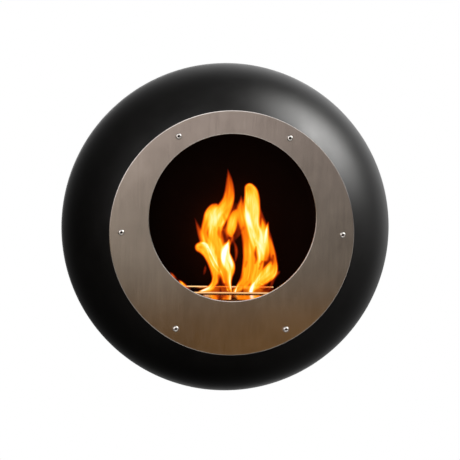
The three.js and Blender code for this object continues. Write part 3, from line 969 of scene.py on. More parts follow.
for side, d in (("left", -1), ("right", 1)):
    prof = rounded(
        [(102.2, -120.8, 0.2), (103.7, -120.8, 0.2), (103.7, -117.2, 0.9), (97.5, -117.2, 0.35), (97.5, -118.6, 0.35), (102.2, -118.6, 0.3)],
        steps=3,
    )
    g = extrude(f"lid_guide_{side}_fine", [(d * x, z) for x, z in prof], "y", -265.0, -99.0)
    soften(g, 0.2, 2, 60.0)
    dress(g, BURNER, "burner", (f"lid_guide_{side}",))


def retainer():
    loops = [box_line(-109.5, 109.5, -189.5, -92.5, 2.0)]
    for x in (-80, -40, 0, 40, 80):
        for y in (-168, -114):
            loops.append(obround(x, y, 14, 40, 10))
    ob = flat("wool_retainer_fine", loops, "z", -144.7, -143.5, edge=0.2)
    return dress(ob, BURNER, "burner", ("wool_retainer",))


retainer()


def hash_noise(x, y, z, seed):
    """Smooth repeatable noise from 0 to 1."""
    xi, yi, zi = (np.floor(c).astype(np.int64) for c in (x, y, z))
    fx, fy, fz = x - xi, y - yi, z - zi
    fx, fy, fz = (f * f * (3 - 2 * f) for f in (fx, fy, fz))

    def h(a, b, c):
        n = (a * 374761393 + b * 668265263 + c * 1442695041 + seed * 974634777) & 0xFFFFFFFF
        n = ((n ^ (n >> 13)) * 1274126177) & 0xFFFFFFFF
        return ((n ^ (n >> 16)) & 0xFFFF) / 65535.0

    out = 0
    for dx in (0, 1):
        for dy in (0, 1):
            for dz in (0, 1):
                w = (fx if dx else 1 - fx) * (fy if dy else 1 - fy) * (fz if dz else 1 - fz)
                out = out + w * h(xi + dx, yi + dy, zi + dz)
    return out


def wool_pad():
    """Soft ceramic fibre batting: rounded edges, a lumpy top and fibrous sides."""
    bm = bmesh.new()
    bmesh.ops.create_cube(bm, size=1.0)
    bmesh.ops.scale(bm, vec=(212.0, 90.0, 31.0), verts=bm.verts)
    bmesh.ops.translate(bm, vec=(0.0, -141.0, -162.2), verts=bm.verts)
    bmesh.ops.bevel(bm, geom=bm.edges[:], offset=6.0, segments=4, affect="EDGES", profile=0.6)
    bmesh.ops.triangulate(bm, faces=bm.faces[:])
    for _ in range(6):
        long = [e for e in bm.edges if e.calc_length() > 6.0]
        if not long:
            break
        bmesh.ops.subdivide_edges(bm, edges=long, cuts=1, use_grid_fill=False)
        bmesh.ops.triangulate(bm, faces=bm.faces[:])
    bm.normal_update()
    P = np.array([v.co for v in bm.verts])
    N = np.array([v.normal for v in bm.verts])
    d = 1.6 * (hash_noise(*(P / 19.0).T, 5) - 0.5) + 1.3 * (hash_noise(*(P / 7.0).T, 9) - 0.5)
    d = np.clip(d, -1.4, 1.4)
    for v, p, n, k in zip(bm.verts, P, N, d):
        q = p + n * k
        v.co = (max(-109, min(109, q[0])), max(-189, min(-93, q[1])), max(-179, min(-145, q[2])))
    verts = [tuple(v.co) for v in bm.verts]
    faces = [tuple(v.index for v in f.verts) for f in bm.faces]
    bm.free()
    ob = new_object("wool_pad_fibre", verts, faces, 180.0)
    dress(ob, WOOL, "burner", ("wool_pad",))
    return ob


wool_pad()

# ----------------------------------------------------- bracket, rail, bumpers


def bracket():
    prof = rounded(
        [(0, -110), (0, 112, 4.5), (-13, 112, 1.5), (-13, 134, 0.8), (-16, 134, 0.8), (-16, 109, 4.5), (-3, 109, 1.5), (-3, -110)],
        steps=6,
    )
    ob = extrude("wall_bracket_fine", prof, "x", -130.0, 130.0)
    cut = []
    for x in (-112, 112):
        cut.append(extrude("c", obround(x, 86, 18, 9, 10), "y", -5, 2))
        cut.append(spin("c", [(0, -5), (4.5, -5), (4.5, 2), (0, 2)], 40, (x, -86)))
    combine(ob, [joined("cutters", cut)])
    soften(ob, 0.35, 2, 50.0)
    return dress(ob, BRACKET, "wall", ("wall_bracket",))


def rail():
    prof = rounded(
        [(-19.7, 134.3, 4.5), (-19.7, 170), (-16.7, 170), (-16.7, 137.3, 1.5), (-6, 137.3, 4.5), (-6, 114.3), (-9, 114.3), (-9, 134.3, 1.5)],
        steps=6,
    )
    ob = extrude("hang_rail_fine", prof, "x", -115.0, 115.0)
    cut = [spin("c", [(0, -25), (3.4, -25), (3.4, -10), (0, -10)], 32, (x, RAIL_Z)) for x in RAIL_X]
    combine(ob, [joined("cutters", cut)])
    soften(ob, 0.35, 2, 50.0)
    return dress(ob, BRACKET, "pod", ("hang_rail",))


bracket()
rail()

for i, x in enumerate(RAIL_X):
    s = hex_screw(f"rail_bolt_fine_{i + 1}", 5.25, 3.1, 3.0, 14.0, 2.3, turn=0.4 * i + 0.1)
    aim(s, (x, -16.5, RAIL_Z), (0, 1, 0))
    dress(s, ZINC, "pod", (f"rail_bolt_{i + 1}",))
    socket(s)
for i, (x, z) in enumerate(BACK_BOLTS):
    s = hex_screw(f"back_bolt_fine_{i + 1}", 5.25, 3.1, 3.0, 31.0, 2.3, turn=0.55 * i + 0.3)
    aim(s, (x, -19.8, z), (0, 1, 0))
    dress(s, ZINC, "pod", (f"back_bolt_{i + 1}",))
for side, x in (("left", -72), ("right", 72)):
    prof = rounded(
        [(0.0, -3.3), (11.0, -3.3, 1.6), (12.4, -7.0, 3.0), (15.0, -17.4, 0.8), (15.0, -19.7, 0.4), (4.0, -19.7), (4.0, -22.3), (6.2, -22.3, 0.8), (4.5, -26.5, 1.0), (0.0, -26.5)],
        closed=False,
    )
    b = spin(f"bumper_{side}_fine", prof, 64, (x, -92.0))
    dress(b, RUBBER, "pod", (f"bumper_{side}",))

# ------------------------------------------------- CAD nodes that stay in view
KEPT = {
    "zinc": (ZINC, [n for n in NODES if n.startswith(("rail_nut", "face_nut", "shield_spacer", "heat_shield"))]),
    "liner": (LINER, ["hearth_lug_left", "hearth_lug_right", "spill_tray"]),
    "burner": (BURNER, ["burner_reservoir"]),
}
for mat, names in KEPT.values():
    for name in names:
        o = NODES[name]
        if not o.material_slots:
            o.data.materials.append(mat)
        for s in o.material_slots:
            s.material = mat
        if name in ("spill_tray", "burner_reservoir", "hearth_lug_left", "hearth_lug_right"):
            b = o.modifiers.new("edges", "BEVEL")
            b.width = 0.35 * MM
            b.segments = 2
            b.limit_method = "ANGLE"
            b.angle_limit = math.radians(50)

# -------------------------------------------------------------------- flames
# Each tongue is a line of (across, down, half width, heat), drawn on a sheet
# where one unit is an eighth of a picture element or so.
TONGUES = {
    "left": {
        "fill_l": [(588, 650, 8, 0.062), (575, 720, 60, 0.248), (560, 800, 92, 0.322), (545, 880, 98, 0.341), (552, 960, 92, 0.322), (580, 1050, 92, 0.285), (606, 1150, 84, 0.26), (620, 1240, 70, 0.236), (630, 1320, 56, 0.186), (640, 1390, 40, 0.124)],
        "tall": [(676, 334, 2, 0.3), (684, 380, 13, 0.36), (690, 430, 26, 0.42), (694, 490, 38, 0.5), (692, 560, 48, 0.62), (678, 620, 54, 0.74), (648, 680, 63, 0.82), (612, 740, 74, 0.86), (582, 800, 73, 0.84), (566, 870, 60, 0.8), (564, 940, 57, 0.76), (580, 1010, 60, 0.74), (606, 1090, 58, 0.74), (632, 1170, 54, 0.74), (655, 1250, 46, 0.66), (668, 1320, 36, 0.55), (680, 1385, 22, 0.4)],
        "shoulder": [(573, 654, 18, 0.60), (550, 684, 40, 0.74), (524, 735, 52, 0.76), (502, 790, 44, 0.68), (482, 840, 36, 0.56), (470, 890, 32, 0.5), (478, 940, 32, 0.52), (502, 990, 36, 0.55), (530, 1040, 40, 0.5)],
        "wisp": [(384, 752, 2, 0.14), (398, 790, 8, 0.24), (412, 830, 15, 0.34), (428, 875, 22, 0.42), (442, 920, 26, 0.46), (458, 965, 28, 0.50)],
        "bulb": [(434, 1022, 44, 0.8), (468, 1028, 55, 0.84), (505, 1064, 54, 0.8), (532, 1115, 50, 0.8), (556, 1175, 48, 0.8), (572, 1235, 44, 0.76), (574, 1290, 36, 0.68), (560, 1335, 28, 0.68), (530, 1372, 24, 0.76), (486, 1398, 18, 0.72), (432, 1410, 8, 0.4)],
        "low_l": [(486, 1170, 3, 0.16), (482, 1205, 13, 0.28), (474, 1240, 12, 0.26), (464, 1268, 4, 0.14)],
    },
    "centre": {
        "fill_m": [(752, 620, 6, 0.037), (744, 690, 44, 0.186), (736, 770, 80, 0.26), (728, 850, 88, 0.223), (716, 920, 52, 0.161), (704, 985, 22, 0.099)],
        "core": [(690, 955, 6, 0.6), (680, 990, 20, 0.92), (662, 1030, 36, 1.15), (656, 1080, 42, 1.2), (672, 1130, 48, 1.05), (694, 1180, 48, 0.95), (704, 1225, 36, 0.85), (698, 1275, 24, 0.80), (694, 1325, 18, 0.80), (700, 1380, 14, 0.78), (708, 1430, 10, 0.6)],
        "oval": [(748, 704, 16, 0.5), (736, 735, 32, 0.64), (722, 780, 42, 0.76), (712, 835, 44, 0.8), (705, 880, 36, 0.72), (702, 912, 22, 0.5)],
        "neck": [(702, 900, 14, 0.40), (716, 940, 16, 0.36), (700, 985, 10, 0.4)],
        "dim_l": [(662, 830, 8, 0.12), (658, 880, 26, 0.26), (653, 940, 32, 0.30), (650, 985, 24, 0.24), (654, 1020, 8, 0.12)],
        "mid_w": [(722, 960, 4, 0.20), (742, 1000, 14, 0.30), (752, 1050, 18, 0.34), (750, 1100, 15, 0.32), (744, 1140, 8, 0.3)],
    },
    "right": {
        "fill_r": [(888, 500, 10, 0.055), (888, 600, 66, 0.22), (884, 700, 86, 0.286), (896, 800, 108, 0.308), (918, 900, 126, 0.33), (938, 1000, 138, 0.33), (950, 1100, 142, 0.286), (948, 1200, 136, 0.253), (926, 1290, 118, 0.231), (884, 1370, 84, 0.209), (850, 1420, 40, 0.11)],
        "main": [(868, 508, 46, 0.84), (882, 545, 61, 0.89), (888, 600, 68, 0.9), (889, 660, 69, 0.92), (888, 720, 69, 0.92), (890, 780, 64, 0.92), (900, 840, 60, 0.92), (918, 900, 62, 0.93), (934, 960, 60, 0.92), (946, 1020, 52, 0.88), (952, 1090, 46, 0.84), (948, 1160, 42, 0.8), (938, 1230, 40, 0.76), (920, 1290, 36, 0.72), (900, 1345, 28, 0.64), (880, 1400, 14, 0.5)],
        "leftpeak": [(793, 566, 3, 0.276), (794, 610, 16, 0.423), (790, 660, 30, 0.552), (790, 715, 38, 0.626), (800, 770, 42, 0.607), (818, 830, 42, 0.42), (836, 890, 42, 0.40), (854, 960, 46, 0.50), (862, 1030, 50, 0.58), (864, 1100, 54, 0.62), (862, 1170, 58, 0.62), (856, 1240, 60, 0.62), (838, 1300, 54, 0.64), (800, 1350, 40, 0.66), (756, 1395, 26, 0.62), (736, 1430, 18, 0.5)],
        "peak1": [(976, 770, 3, 0.40), (981, 810, 15, 0.58), (986, 860, 28, 0.72), (992, 920, 36, 0.78), (1000, 990, 40, 0.76), (1004, 1060, 38, 0.68), (1006, 1120, 26, 0.4)],
        "peak2": [(1032, 798, 3, 0.50), (1024, 840, 12, 0.75), (1014, 890, 20, 0.92), (1006, 940, 24, 0.92), (998, 1000, 24, 0.84), (988, 1060, 22, 0.7), (976, 1120, 16, 0.4)],
        "outer": [(1034, 925, 6, 0.34), (1046, 970, 16, 0.44), (1060, 1030, 24, 0.48), (1074, 1090, 28, 0.48), (1082, 1140, 28, 0.52), (1066, 1196, 50, 0.72), (1046, 1234, 62, 0.80), (1012, 1270, 58, 0.78), (968, 1310, 48, 0.74), (922, 1350, 36, 0.7), (890, 1385, 28, 0.66), (876, 1425, 22, 0.6)],
        "tip_r": [(1138, 1226, 3, 0.20), (1118, 1244, 14, 0.34), (1092, 1268, 18, 0.38), (1070, 1305, 18, 0.34), (1060, 1345, 14, 0.28), (1040, 1385, 10, 0.26), (1000, 1410, 5, 0.2)],
    },
    "licks": {
        "lick_a": [(176, 1236, 2, 0.3), (190, 1256, 10, 0.52), (210, 1280, 12, 0.5), (234, 1302, 5, 0.3)],
        "lick_b": [(248, 1306, 3, 0.4), (268, 1326, 12, 0.95), (296, 1350, 13, 0.98), (330, 1374, 8, 0.7), (360, 1388, 4, 0.3)],
    },
    "base": {
        "base_l": [(720, 1404, 36, 0.34), (650, 1406, 36, 0.30), (580, 1402, 38, 0.46), (520, 1402, 32, 0.62), (465, 1406, 20, 0.6), (420, 1412, 9, 0.4)],
        "base_r": [(740, 1412, 30, 0.40), (800, 1406, 40, 0.46), (860, 1400, 48, 0.62), (920, 1396, 44, 0.54), (980, 1400, 36, 0.42), (1040, 1398, 20, 0.30), (1080, 1380, 8, 0.2)],
    },
}
FILAMENTS = [
    [(430, 985, 6, 0.055), (480, 985, 9, 0.11), (508, 1020, 9, 0.165), (536, 1080, 9, 0.187), (572, 1150, 9, 0.187), (606, 1210, 9, 0.165), (634, 1270, 8, 0.132), (648, 1330, 6, 0.11)],
    [(500, 1040, 6, 0.055), (520, 1110, 8, 0.121), (552, 1180, 8, 0.143), (590, 1230, 7, 0.11)],
    [(520, 700, 14, 0.044), (540, 780, 22, 0.088), (528, 850, 20, 0.099), (510, 930, 14, 0.066), (506, 1000, 10, 0.066)],
    [(660, 600, 14, 0.033), (650, 680, 24, 0.066), (600, 760, 26, 0.066), (560, 830, 20, 0.055)],
    [(816, 600, 8, 0.05), (826, 650, 20, 0.13), (842, 726, 34, 0.20), (864, 794, 32, 0.18), (890, 861, 28, 0.14), (914, 930, 22, 0.08)],
    [(962, 850, 12, 0.03), (966, 910, 26, 0.09), (962, 980, 30, 0.11), (958, 1050, 24, 0.13), (958, 1120, 16, 0.13), (956, 1190, 12, 0.08)],
    [(1026, 800, 4, 0.1), (1018, 850, 8, 0.2), (1008, 910, 10, 0.18), (1000, 980, 10, 0.1)],
    [(861, 950, 8, 0.06), (871, 1036, 13, 0.13), (876, 1132, 14, 0.12), (868, 1229, 12, 0.1), (850, 1310, 10, 0.1)],
    [(1036, 1185, 34, 0.04), (1024, 1240, 52, 0.07), (984, 1290, 42, 0.07), (934, 1340, 24, 0.07)],
    [(1076, 1060, 5, 0.06), (1094, 1120, 6, 0.14), (1102, 1185, 7, 0.2), (1096, 1245, 7, 0.22), (1062, 1305, 7, 0.18), (1014, 1334, 6, 0.1)],
    [(687, 958, 6, 0.15), (668, 1016, 18, 0.32), (648, 1065, 29, 0.5), (638, 1115, 27, 0.42), (640, 1165, 20, 0.2), (646, 1205, 10, 0.06)],
    [(690, 1060, 10, 0.1), (706, 1125, 20, 0.2), (716, 1180, 22, 0.16), (705, 1240, 16, 0.14), (694, 1290, 12, 0.16), (698, 1350, 9, 0.2), (710, 1405, 8, 0.24)],
    [(620, 500, 10, 0.02), (655, 560, 20, 0.05), (640, 640, 28, 0.08), (600, 720, 36, 0.10), (570, 790, 30, 0.08), (556, 850, 20, 0.04)],
    [(400, 1010, 12, 0.04), (430, 985, 16, 0.12), (470, 990, 16, 0.12), (500, 1020, 14, 0.1)],
    [(550, 1285, 8, 0.12), (536, 1330, 12, 0.34), (502, 1370, 16, 0.5), (458, 1395, 15, 0.6), (418, 1408, 9, 0.5)],
    [(640, 1300, 6, 0.05), (652, 1340, 7, 0.2), (672, 1385, 8, 0.36), (690, 1420, 8, 0.4)],
    [(800, 1250, 8, 0.05), (778, 1310, 10, 0.14), (760, 1360, 9, 0.28), (744, 1404, 9, 0.4), (738, 1430, 8, 0.4)],
    [(906, 1330, 12, 0.1), (890, 1372, 20, 0.3), (880, 1405, 26, 0.42), (876, 1435, 26, 0.42)],
    [(950, 1330, 6, 0.05), (990, 1352, 7, 0.2), (1040, 1374, 5, 0.25)],
    [(880, 880, 14, 0.05), (912, 950, 18, 0.07), (960, 1010, 20, 0.07), (990, 1080, 14, 0.05)],
    [(560, 1230, 6, 0.055), (552, 1300, 7, 0.132), (536, 1350, 6, 0.165), (500, 1390, 5, 0.165), (450, 1404, 4, 0.165)],
    [(735, 1200, 5, 0.055), (712, 1260, 6, 0.121), (700, 1320, 6, 0.165), (706, 1385, 5, 0.165)],
    [(1034, 1166, 8, 0.03), (1000, 1190, 8, 0.07), (966, 1246, 8, 0.08), (928, 1306, 8, 0.09), (892, 1360, 7, 0.15), (876, 1415, 6, 0.2)],
    [(838, 1180, 7, 0.028), (822, 1250, 7, 0.066), (800, 1310, 7, 0.11), (760, 1360, 6, 0.132), (720, 1400, 5, 0.132)],
]
POCKETS = [
    [(610, 1375, 14, 0.3), (616, 1410, 18, 0.5), (620, 1440, 16, 0.4)],
    [(716, 1330, 6, 0.3), (718, 1380, 7, 0.5), (716, 1425, 6, 0.4)],
    [(812, 1360, 10, 0.2), (808, 1395, 14, 0.4), (800, 1430, 14, 0.4)],
    [(960, 1375, 14, 0.2), (1000, 1392, 16, 0.4), (1050, 1396, 14, 0.4)],
    [(596, 1120, 16, 0.12), (600, 1170, 20, 0.22), (604, 1220, 18, 0.25)],
    [(636, 890, 26, 0.3), (650, 925, 32, 0.42), (664, 962, 26, 0.3)],
    [(600, 850, 16, 0.2), (598, 895, 24, 0.34), (606, 935, 18, 0.2)],
    [(924, 1020, 14, 0.3), (920, 1075, 24, 0.6), (926, 1125, 20, 0.5), (916, 1160, 14, 0.25)],
    [(1072, 1095, 18, 0.4), (1068, 1145, 20, 0.45), (1066, 1170, 14, 0.3)],
    [(812, 850, 26, 0.2), (792, 880, 22, 0.25)],
    [(648, 1345, 22, 0.45), (664, 1380, 18, 0.35)],
    [(598, 1270, 22, 0.3), (606, 1315, 24, 0.5), (616, 1350, 18, 0.4)],
    [(842, 1150, 18, 0.2), (830, 1190, 16, 0.2)],
    [(962, 1170, 16, 0.4), (978, 1145, 14, 0.4), (952, 1210, 14, 0.25)],
    [(640, 740, 22, 0.12), (660, 800, 22, 0.25), (640, 850, 22, 0.3)],
]
SOFT_EDGE, GAIN = 27.0, 0.94
# depth of each sheet of flame in the slot, in mm
DEPTH = {"left": -128.0, "centre": -150.0, "right": -138.0, "base": -160.0, "licks": -118.0}


def smooth_step(x):
    t = np.clip(x, 0, 1)
    return t * t * (3 - 2 * t)


def dense(points, step=6):
    p = np.array(points, float)
    q = np.vstack([2 * p[0] - p[1], p, 2 * p[-1] - p[-2]])
    out = []
    for i in range(1, len(q) - 2):
        n = max(2, int(np.hypot(*(q[i + 1, :2] - q[i, :2])) / step))
        for k in range(n):
            t = k / n
            out.append(
                0.5
                * (
                    2 * q[i]
                    + (q[i + 1] - q[i - 1]) * t
                    + (2 * q[i - 1] - 5 * q[i] + 4 * q[i + 1] - q[i + 2]) * t * t
                    + (3 * q[i] - q[i - 1] - 3 * q[i + 1] + q[i + 2]) * t**3
                )
            )
    out.append(q[-2])
    o = np.array(out)
    o[:, 2] = np.maximum(o[:, 2], 0.5)
    return o


def near(P, points):
    """For points P: the signed share of the half width, the way along the line, the
    line's heat and its half width."""
    o = dense(points)
    a, b = o[:-1, :2], o[1:, :2]
    ab = b - a
    l2 = (ab**2).sum(1) + 1e-9
    seg = np.sqrt(l2)
    cum = np.concatenate([[0], np.cumsum(seg)])
    best = np.full(len(P), 1e9)
    S, T, B, W = np.full(len(P), 9.0), np.zeros(len(P)), np.zeros(len(P)), np.zeros(len(P))
    for i in range(len(a)):
        ap = P - a[i]
        t = np.clip((ap @ ab[i]) / l2[i], 0, 1)
        d = ap - t[:, None] * ab[i]
        w = o[i, 2] + (o[i + 1, 2] - o[i, 2]) * t
        s = np.hypot(d[:, 0], d[:, 1]) / w
        m = s < best
        best[m] = s[m]
        side = np.sign(ab[i, 0] * ap[:, 1] - ab[i, 1] * ap[:, 0])
        S[m] = (s * side)[m]
        T[m] = (cum[i] + t * seg[i])[m]
        B[m] = (o[i, 3] + (o[i + 1, 3] - o[i, 3]) * t)[m]
        W[m] = w[m]
    return S, T, B, W


ORDER = {line: k for k, line in enumerate(line for sheet in TONGUES.values() for line in sheet)}


def heat_of(P, sheets):
    """Heat at the points P: the sheets' tongues laid over each other, with bright
    filaments and dark pockets."""
    keep = np.ones(len(P))
    for tongues in sheets.values():
        for line, points in tongues.items():
            k = ORDER[line]
            S, t, b, w = near(P, points)
            w2 = w + 10
            e = smooth_step((1 - np.abs(S * w / w2)) * w2 / SOFT_EDGE)
            z = np.zeros(len(P))
            streak = (
                0.80
                + 0.28 * hash_noise(S * 2.6 + 7 * k, t / 95.0 + k, z, k)
                + 0.14 * hash_noise(S * 6 + 3 * k, t / 60.0 + k, z, k + 50)
            )
            keep *= 1 - np.clip(b * e * streak * GAIN, 0, 0.995)
    heat = 1 - keep
    for points in FILAMENTS:
        S, t, b, w = near(P, points)
        heat = heat + b * smooth_step(1 - np.abs(S)) * np.minimum(1, heat * 2)
    for points in POCKETS:
        S, t, b, w = near(P, points)
        heat = heat * (1 - b * smooth_step(1 - np.abs(S)))
    return heat


STEP = 5.4  # of the sheet's units, about 1.1 mm
THRESHOLD = 0.035


def flame_sheet(name, key, depth, swell=11.0, reach=15.0):
    """One closed, lens-shaped body of flame. Its outline follows the sheet's own
    density, its front and back meet at the outline, and density and heat go with each
    vertex. The heat is that of all the sheets together."""
    tongues = TONGUES[key]
    pts = np.array([p[:3] for line in tongues.values() for p in line], float)
    lo = (pts[:, :2] - pts[:, 2:3]).min(0) - 24
    hi = (pts[:, :2] + pts[:, 2:3]).max(0) + 24
    nx, ny = int((hi[0] - lo[0]) / STEP) + 1, int((hi[1] - lo[1]) / STEP) + 1
    X, Y = np.meshgrid(lo[0] + STEP * np.arange(nx), lo[1] + STEP * np.arange(ny))
    P = np.c_[X.ravel(), Y.ravel()]
    own = heat_of(P, {key: tongues}).reshape(ny, nx)
    heat = heat_of(P, TONGUES).reshape(ny, nx)
    # the flames are thin and clear where they leave the slot
    own = own * (1 - 0.42 * smooth_step((Y - 1345) / 60.0))
    hot = own > THRESHOLD
    # a cell counts where three of its four corners are hot
    count = hot[:-1, :-1].astype(int) + hot[1:, :-1] + hot[:-1, 1:] + hot[1:, 1:]
    cell = count >= 3
    # no corner-to-corner touches, and no crumbs
    for _ in range(4):
        d1 = cell[:-1, :-1] & cell[1:, 1:] & ~cell[1:, :-1] & ~cell[:-1, 1:]
        d2 = cell[1:, :-1] & cell[:-1, 1:] & ~cell[:-1, :-1] & ~cell[1:, 1:]
        if not (d1.any() or d2.any()):
            break
        cell[1:, :-1] |= d1
        cell[:-1, :-1] |= d2
    label = np.zeros(cell.shape, int)
    sizes = [0]
    for s in zip(*np.nonzero(cell)):
        if label[s]:
            continue
        n = len(sizes)
        stack, size = [s], 0
        label[s] = n
        while stack:
            r, c = stack.pop()
            size += 1
            for rr, cc in ((r + 1, c), (r - 1, c), (r, c + 1), (r, c - 1)):
                if 0 <= rr < cell.shape[0] and 0 <= cc < cell.shape[1] and cell[rr, cc] and not label[rr, cc]:
                    label[rr, cc] = n
                    stack.append((rr, cc))
        sizes.append(size)
    cell &= np.array(sizes)[label] > 60
    # vertices, and which of them are on the outline
    pad = np.zeros((ny + 1, nx + 1), bool)
    pad[1:-1, 1:-1] = cell
    touch = pad[:-1, :-1].astype(int) + pad[1:, :-1] + pad[:-1, 1:] + pad[1:, 1:]
    used = touch > 0
    rim = used & (touch < 4)
    # distance to the outline, in steps
    dist = np.where(used & ~rim, 1e6, 0.0)
    for _ in range(3):
        for dr, dc, w in ((0, 1, 1), (1, 0, 1), (1, 1, 1.414), (1, -1, 1.414)):
            for sign in (1, -1):
                for _ in range(28):
                    moved = np.roll(dist, (sign * dr, sign * dc), (0, 1)) + w
                    new = np.minimum(dist, moved)
                    if np.array_equal(new, dist):
                        break
                    dist = new
    unit = STEP * 1.835 / 8.71
    d = np.minimum(dist * unit / reach, 1.0)
    thick = swell * np.sqrt(1 - (1 - d) ** 2)
    # the outline's steps are smoothed away
    px, py = X.copy(), Y.copy()
    idx = np.full(used.shape, -1)
    order = list(zip(*np.nonzero(rim)))
    links = {}
    for r, c in order:
        near_rim = []
        for rr, cc, cells in (
            (r, c + 1, ((r, c), (r - 1, c))),
            (r, c - 1, ((r, c - 1), (r - 1, c - 1))),
            (r + 1, c, ((r, c), (r, c - 1))),
            (r - 1, c, ((r - 1, c), (r - 1, c - 1))),
        ):
            if 0 <= rr < ny and 0 <= cc < nx and rim[rr, cc]:
                inn = [0 <= a < cell.shape[0] and 0 <= b < cell.shape[1] and bool(cell[a, b]) for a, b in cells]
                if sum(inn) == 1:
                    near_rim.append((rr, cc))
        links[(r, c)] = near_rim
    for _ in range(10):
        nxp, nyp = px.copy(), py.copy()
        for (r, c), near_rim in links.items():
            if len(near_rim) == 2:
                mx = sum(px[q] for q in near_rim) / 2
                my = sum(py[q] for q in near_rim) / 2
                nxp[r, c] = px[r, c] * 0.5 + mx * 0.5
                nyp[r, c] = py[r, c] * 0.5 + my * 0.5
        px, py = nxp, nyp
    seed = ORDER[next(iter(tongues))]
    sway = 16.0 * (hash_noise(px / 190.0, py / 240.0, np.zeros_like(px), 70 + seed) - 0.5)
    verts, heats, covers = [], [], []
    front = np.full(used.shape, -1)
    rear = np.full(used.shape, -1)
    for r, c in zip(*np.nonzero(used)):
        u, v = 150 + px[r, c] / 8.7125, 130 + py[r, c] / 8.711
        # the sheet wavers in depth, less so near the slot
        free = min(1.0, max(0.0, (through_pixel(u, v, depth).z + 125.0) / 90.0))
        y0 = depth + free * sway[r, c]
        t = thick[r, c] * (0.35 + 0.65 * free)
        if rim[r, c]:
            front[r, c] = rear[r, c] = len(verts)
            verts.append(through_pixel(u, v, y0))
            heats.append(float(heat[r, c]))
            covers.append(0.0)
        else:
            front[r, c] = len(verts)
            verts.append(through_pixel(u, v, y0 - t))
            rear[r, c] = len(verts)
            verts.append(through_pixel(u, v, y0 + t))
            heats += [float(heat[r, c])] * 2
            covers += [float(own[r, c])] * 2
    faces = []
    for r, c in zip(*np.nonzero(cell)):
        q = ((r, c), (r, c + 1), (r + 1, c + 1), (r + 1, c))
        f = [front[a] for a in q]
        b = [rear[a] for a in q]
        faces.append(tuple(f))
        faces.append(tuple(b[::-1]))
    me = bpy.data.meshes.new(name)
    me.from_pydata([tuple(round(c, 3) * MM for c in v) for v in verts], [], faces)
    for label_, values in (("flame_heat", heats), ("flame_cover", covers)):
        at = me.attributes.new(label_, "FLOAT", "POINT")
        at.data.foreach_set("value", np.array(values, np.float32))
    bm = bmesh.new()
    bm.from_mesh(me)
    # cells whose four corners are all on the outline have no thickness
    seen, drop = {}, []
    for f in bm.faces:
        key = tuple(sorted(v.index for v in f.verts))
        if key in seen:
            drop += [f, seen[key]]
        seen[key] = f
    bmesh.ops.delete(bm, geom=list(set(drop)), context="FACES")
    # what lies below the burner's slot is cut off
    geom = bm.verts[:] + bm.edges[:] + bm.faces[:]
    cut = bmesh.ops.bisect_plane(bm, geom=geom, plane_co=(0, 0, -0.1275), plane_no=(0, 0, -1), clear_outer=True)
    edges = [e for e in bm.edges if e.is_boundary]
    bmesh.ops.holes_fill(bm, edges=edges, sides=0)
    loose = [v for v in bm.verts if not v.link_faces]
    bmesh.ops.delete(bm, geom=loose, context="VERTS")
    bmesh.ops.recalc_face_normals(bm, faces=bm.faces)
    bm.to_mesh(me)
    bm.free()
    ob = bpy.data.objects.new(name, me)
    SCENE.collection.objects.link(ob)
    shade(ob, 180.0)
    return ob


FLAME_RAMP = [
    (0.0, (0.0, 0.0, 0.0)), (0.11, (0.05, 0.003, 0.001)), (0.27, (0.28, 0.018, 0.002)), (0.44, (0.75, 0.095, 0.003)),
    (0.60, (1.15, 0.235, 0.004)), (0.73, (1.35, 0.41, 0.009)), (0.83, (1.5, 0.60, 0.028)), (0.91, (1.6, 0.78, 0.11)),
    (0.99, (1.7, 0.93, 0.32)), (1.10, (1.8, 1.05, 0.72)), (1.3, (2.0, 1.3, 1.2)),
]
FLAME_POWER = 2.2
HOTTEST = 1.3


def opacity(h):
    return float(np.interp(h, [0, 0.1, 0.25, 0.42, 0.58, 0.72, 0.84, 1.3], [0.0, 0.12, 0.32, 0.55, 0.75, 0.88, 0.95, 0.97]))


def flame_material():
    m = Mat("flame", Metallic=0.0, Roughness=1.0)
    m.p.inputs["Base Color"].default_value = (0, 0, 0, 1)
    m.p.inputs["Specular IOR Level"].default_value = 0.0
    m.p.inputs["Emission Strength"].default_value = FLAME_POWER
    hot = m.node("ShaderNodeAttribute", attribute_name="flame_heat", attribute_type="GEOMETRY")
    own = m.node("ShaderNodeAttribute", attribute_name="flame_cover", attribute_type="GEOMETRY")
    streak = m.noise(m.coords((260.0, 90.0, 26.0)), 1.0, 4.0, 0.6, 0.7)
    waver = m.span(streak, 0.25, 0.75, 0.91, 1.07)
    stops, alphas = [], []
    for x, c in FLAME_RAMP:
        o = max(opacity(x), 0.02)
        stops.append((x / HOTTEST, tuple(min(1.0, v / o / FLAME_POWER) for v in c)))
        alphas.append((x / HOTTEST, (1 - math.sqrt(1 - o) if x else 0.0,) * 3))
    stops[0] = (0.0, stops[1][1])
    heat = m.math("MULTIPLY", m.math("MULTIPLY", hot.outputs["Fac"], waver), 1.0 / HOTTEST)
    cover = m.math("MULTIPLY", m.math("MULTIPLY", own.outputs["Fac"], waver), 1.0 / HOTTEST)
    m.to("Emission Color", m.ramp(heat, stops))
    m.to("Alpha", m.ramp(cover, alphas))
    return m.m


FLAME = flame_material()
for key in TONGUES:
    f = flame_sheet(f"flame_{key}", key, DEPTH[key], swell=4.0 if key in ("base", "licks") else 11.0)
    dress(f, FLAME, "burner")
    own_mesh(f)

# ------------------------------------------------------------ light and floor


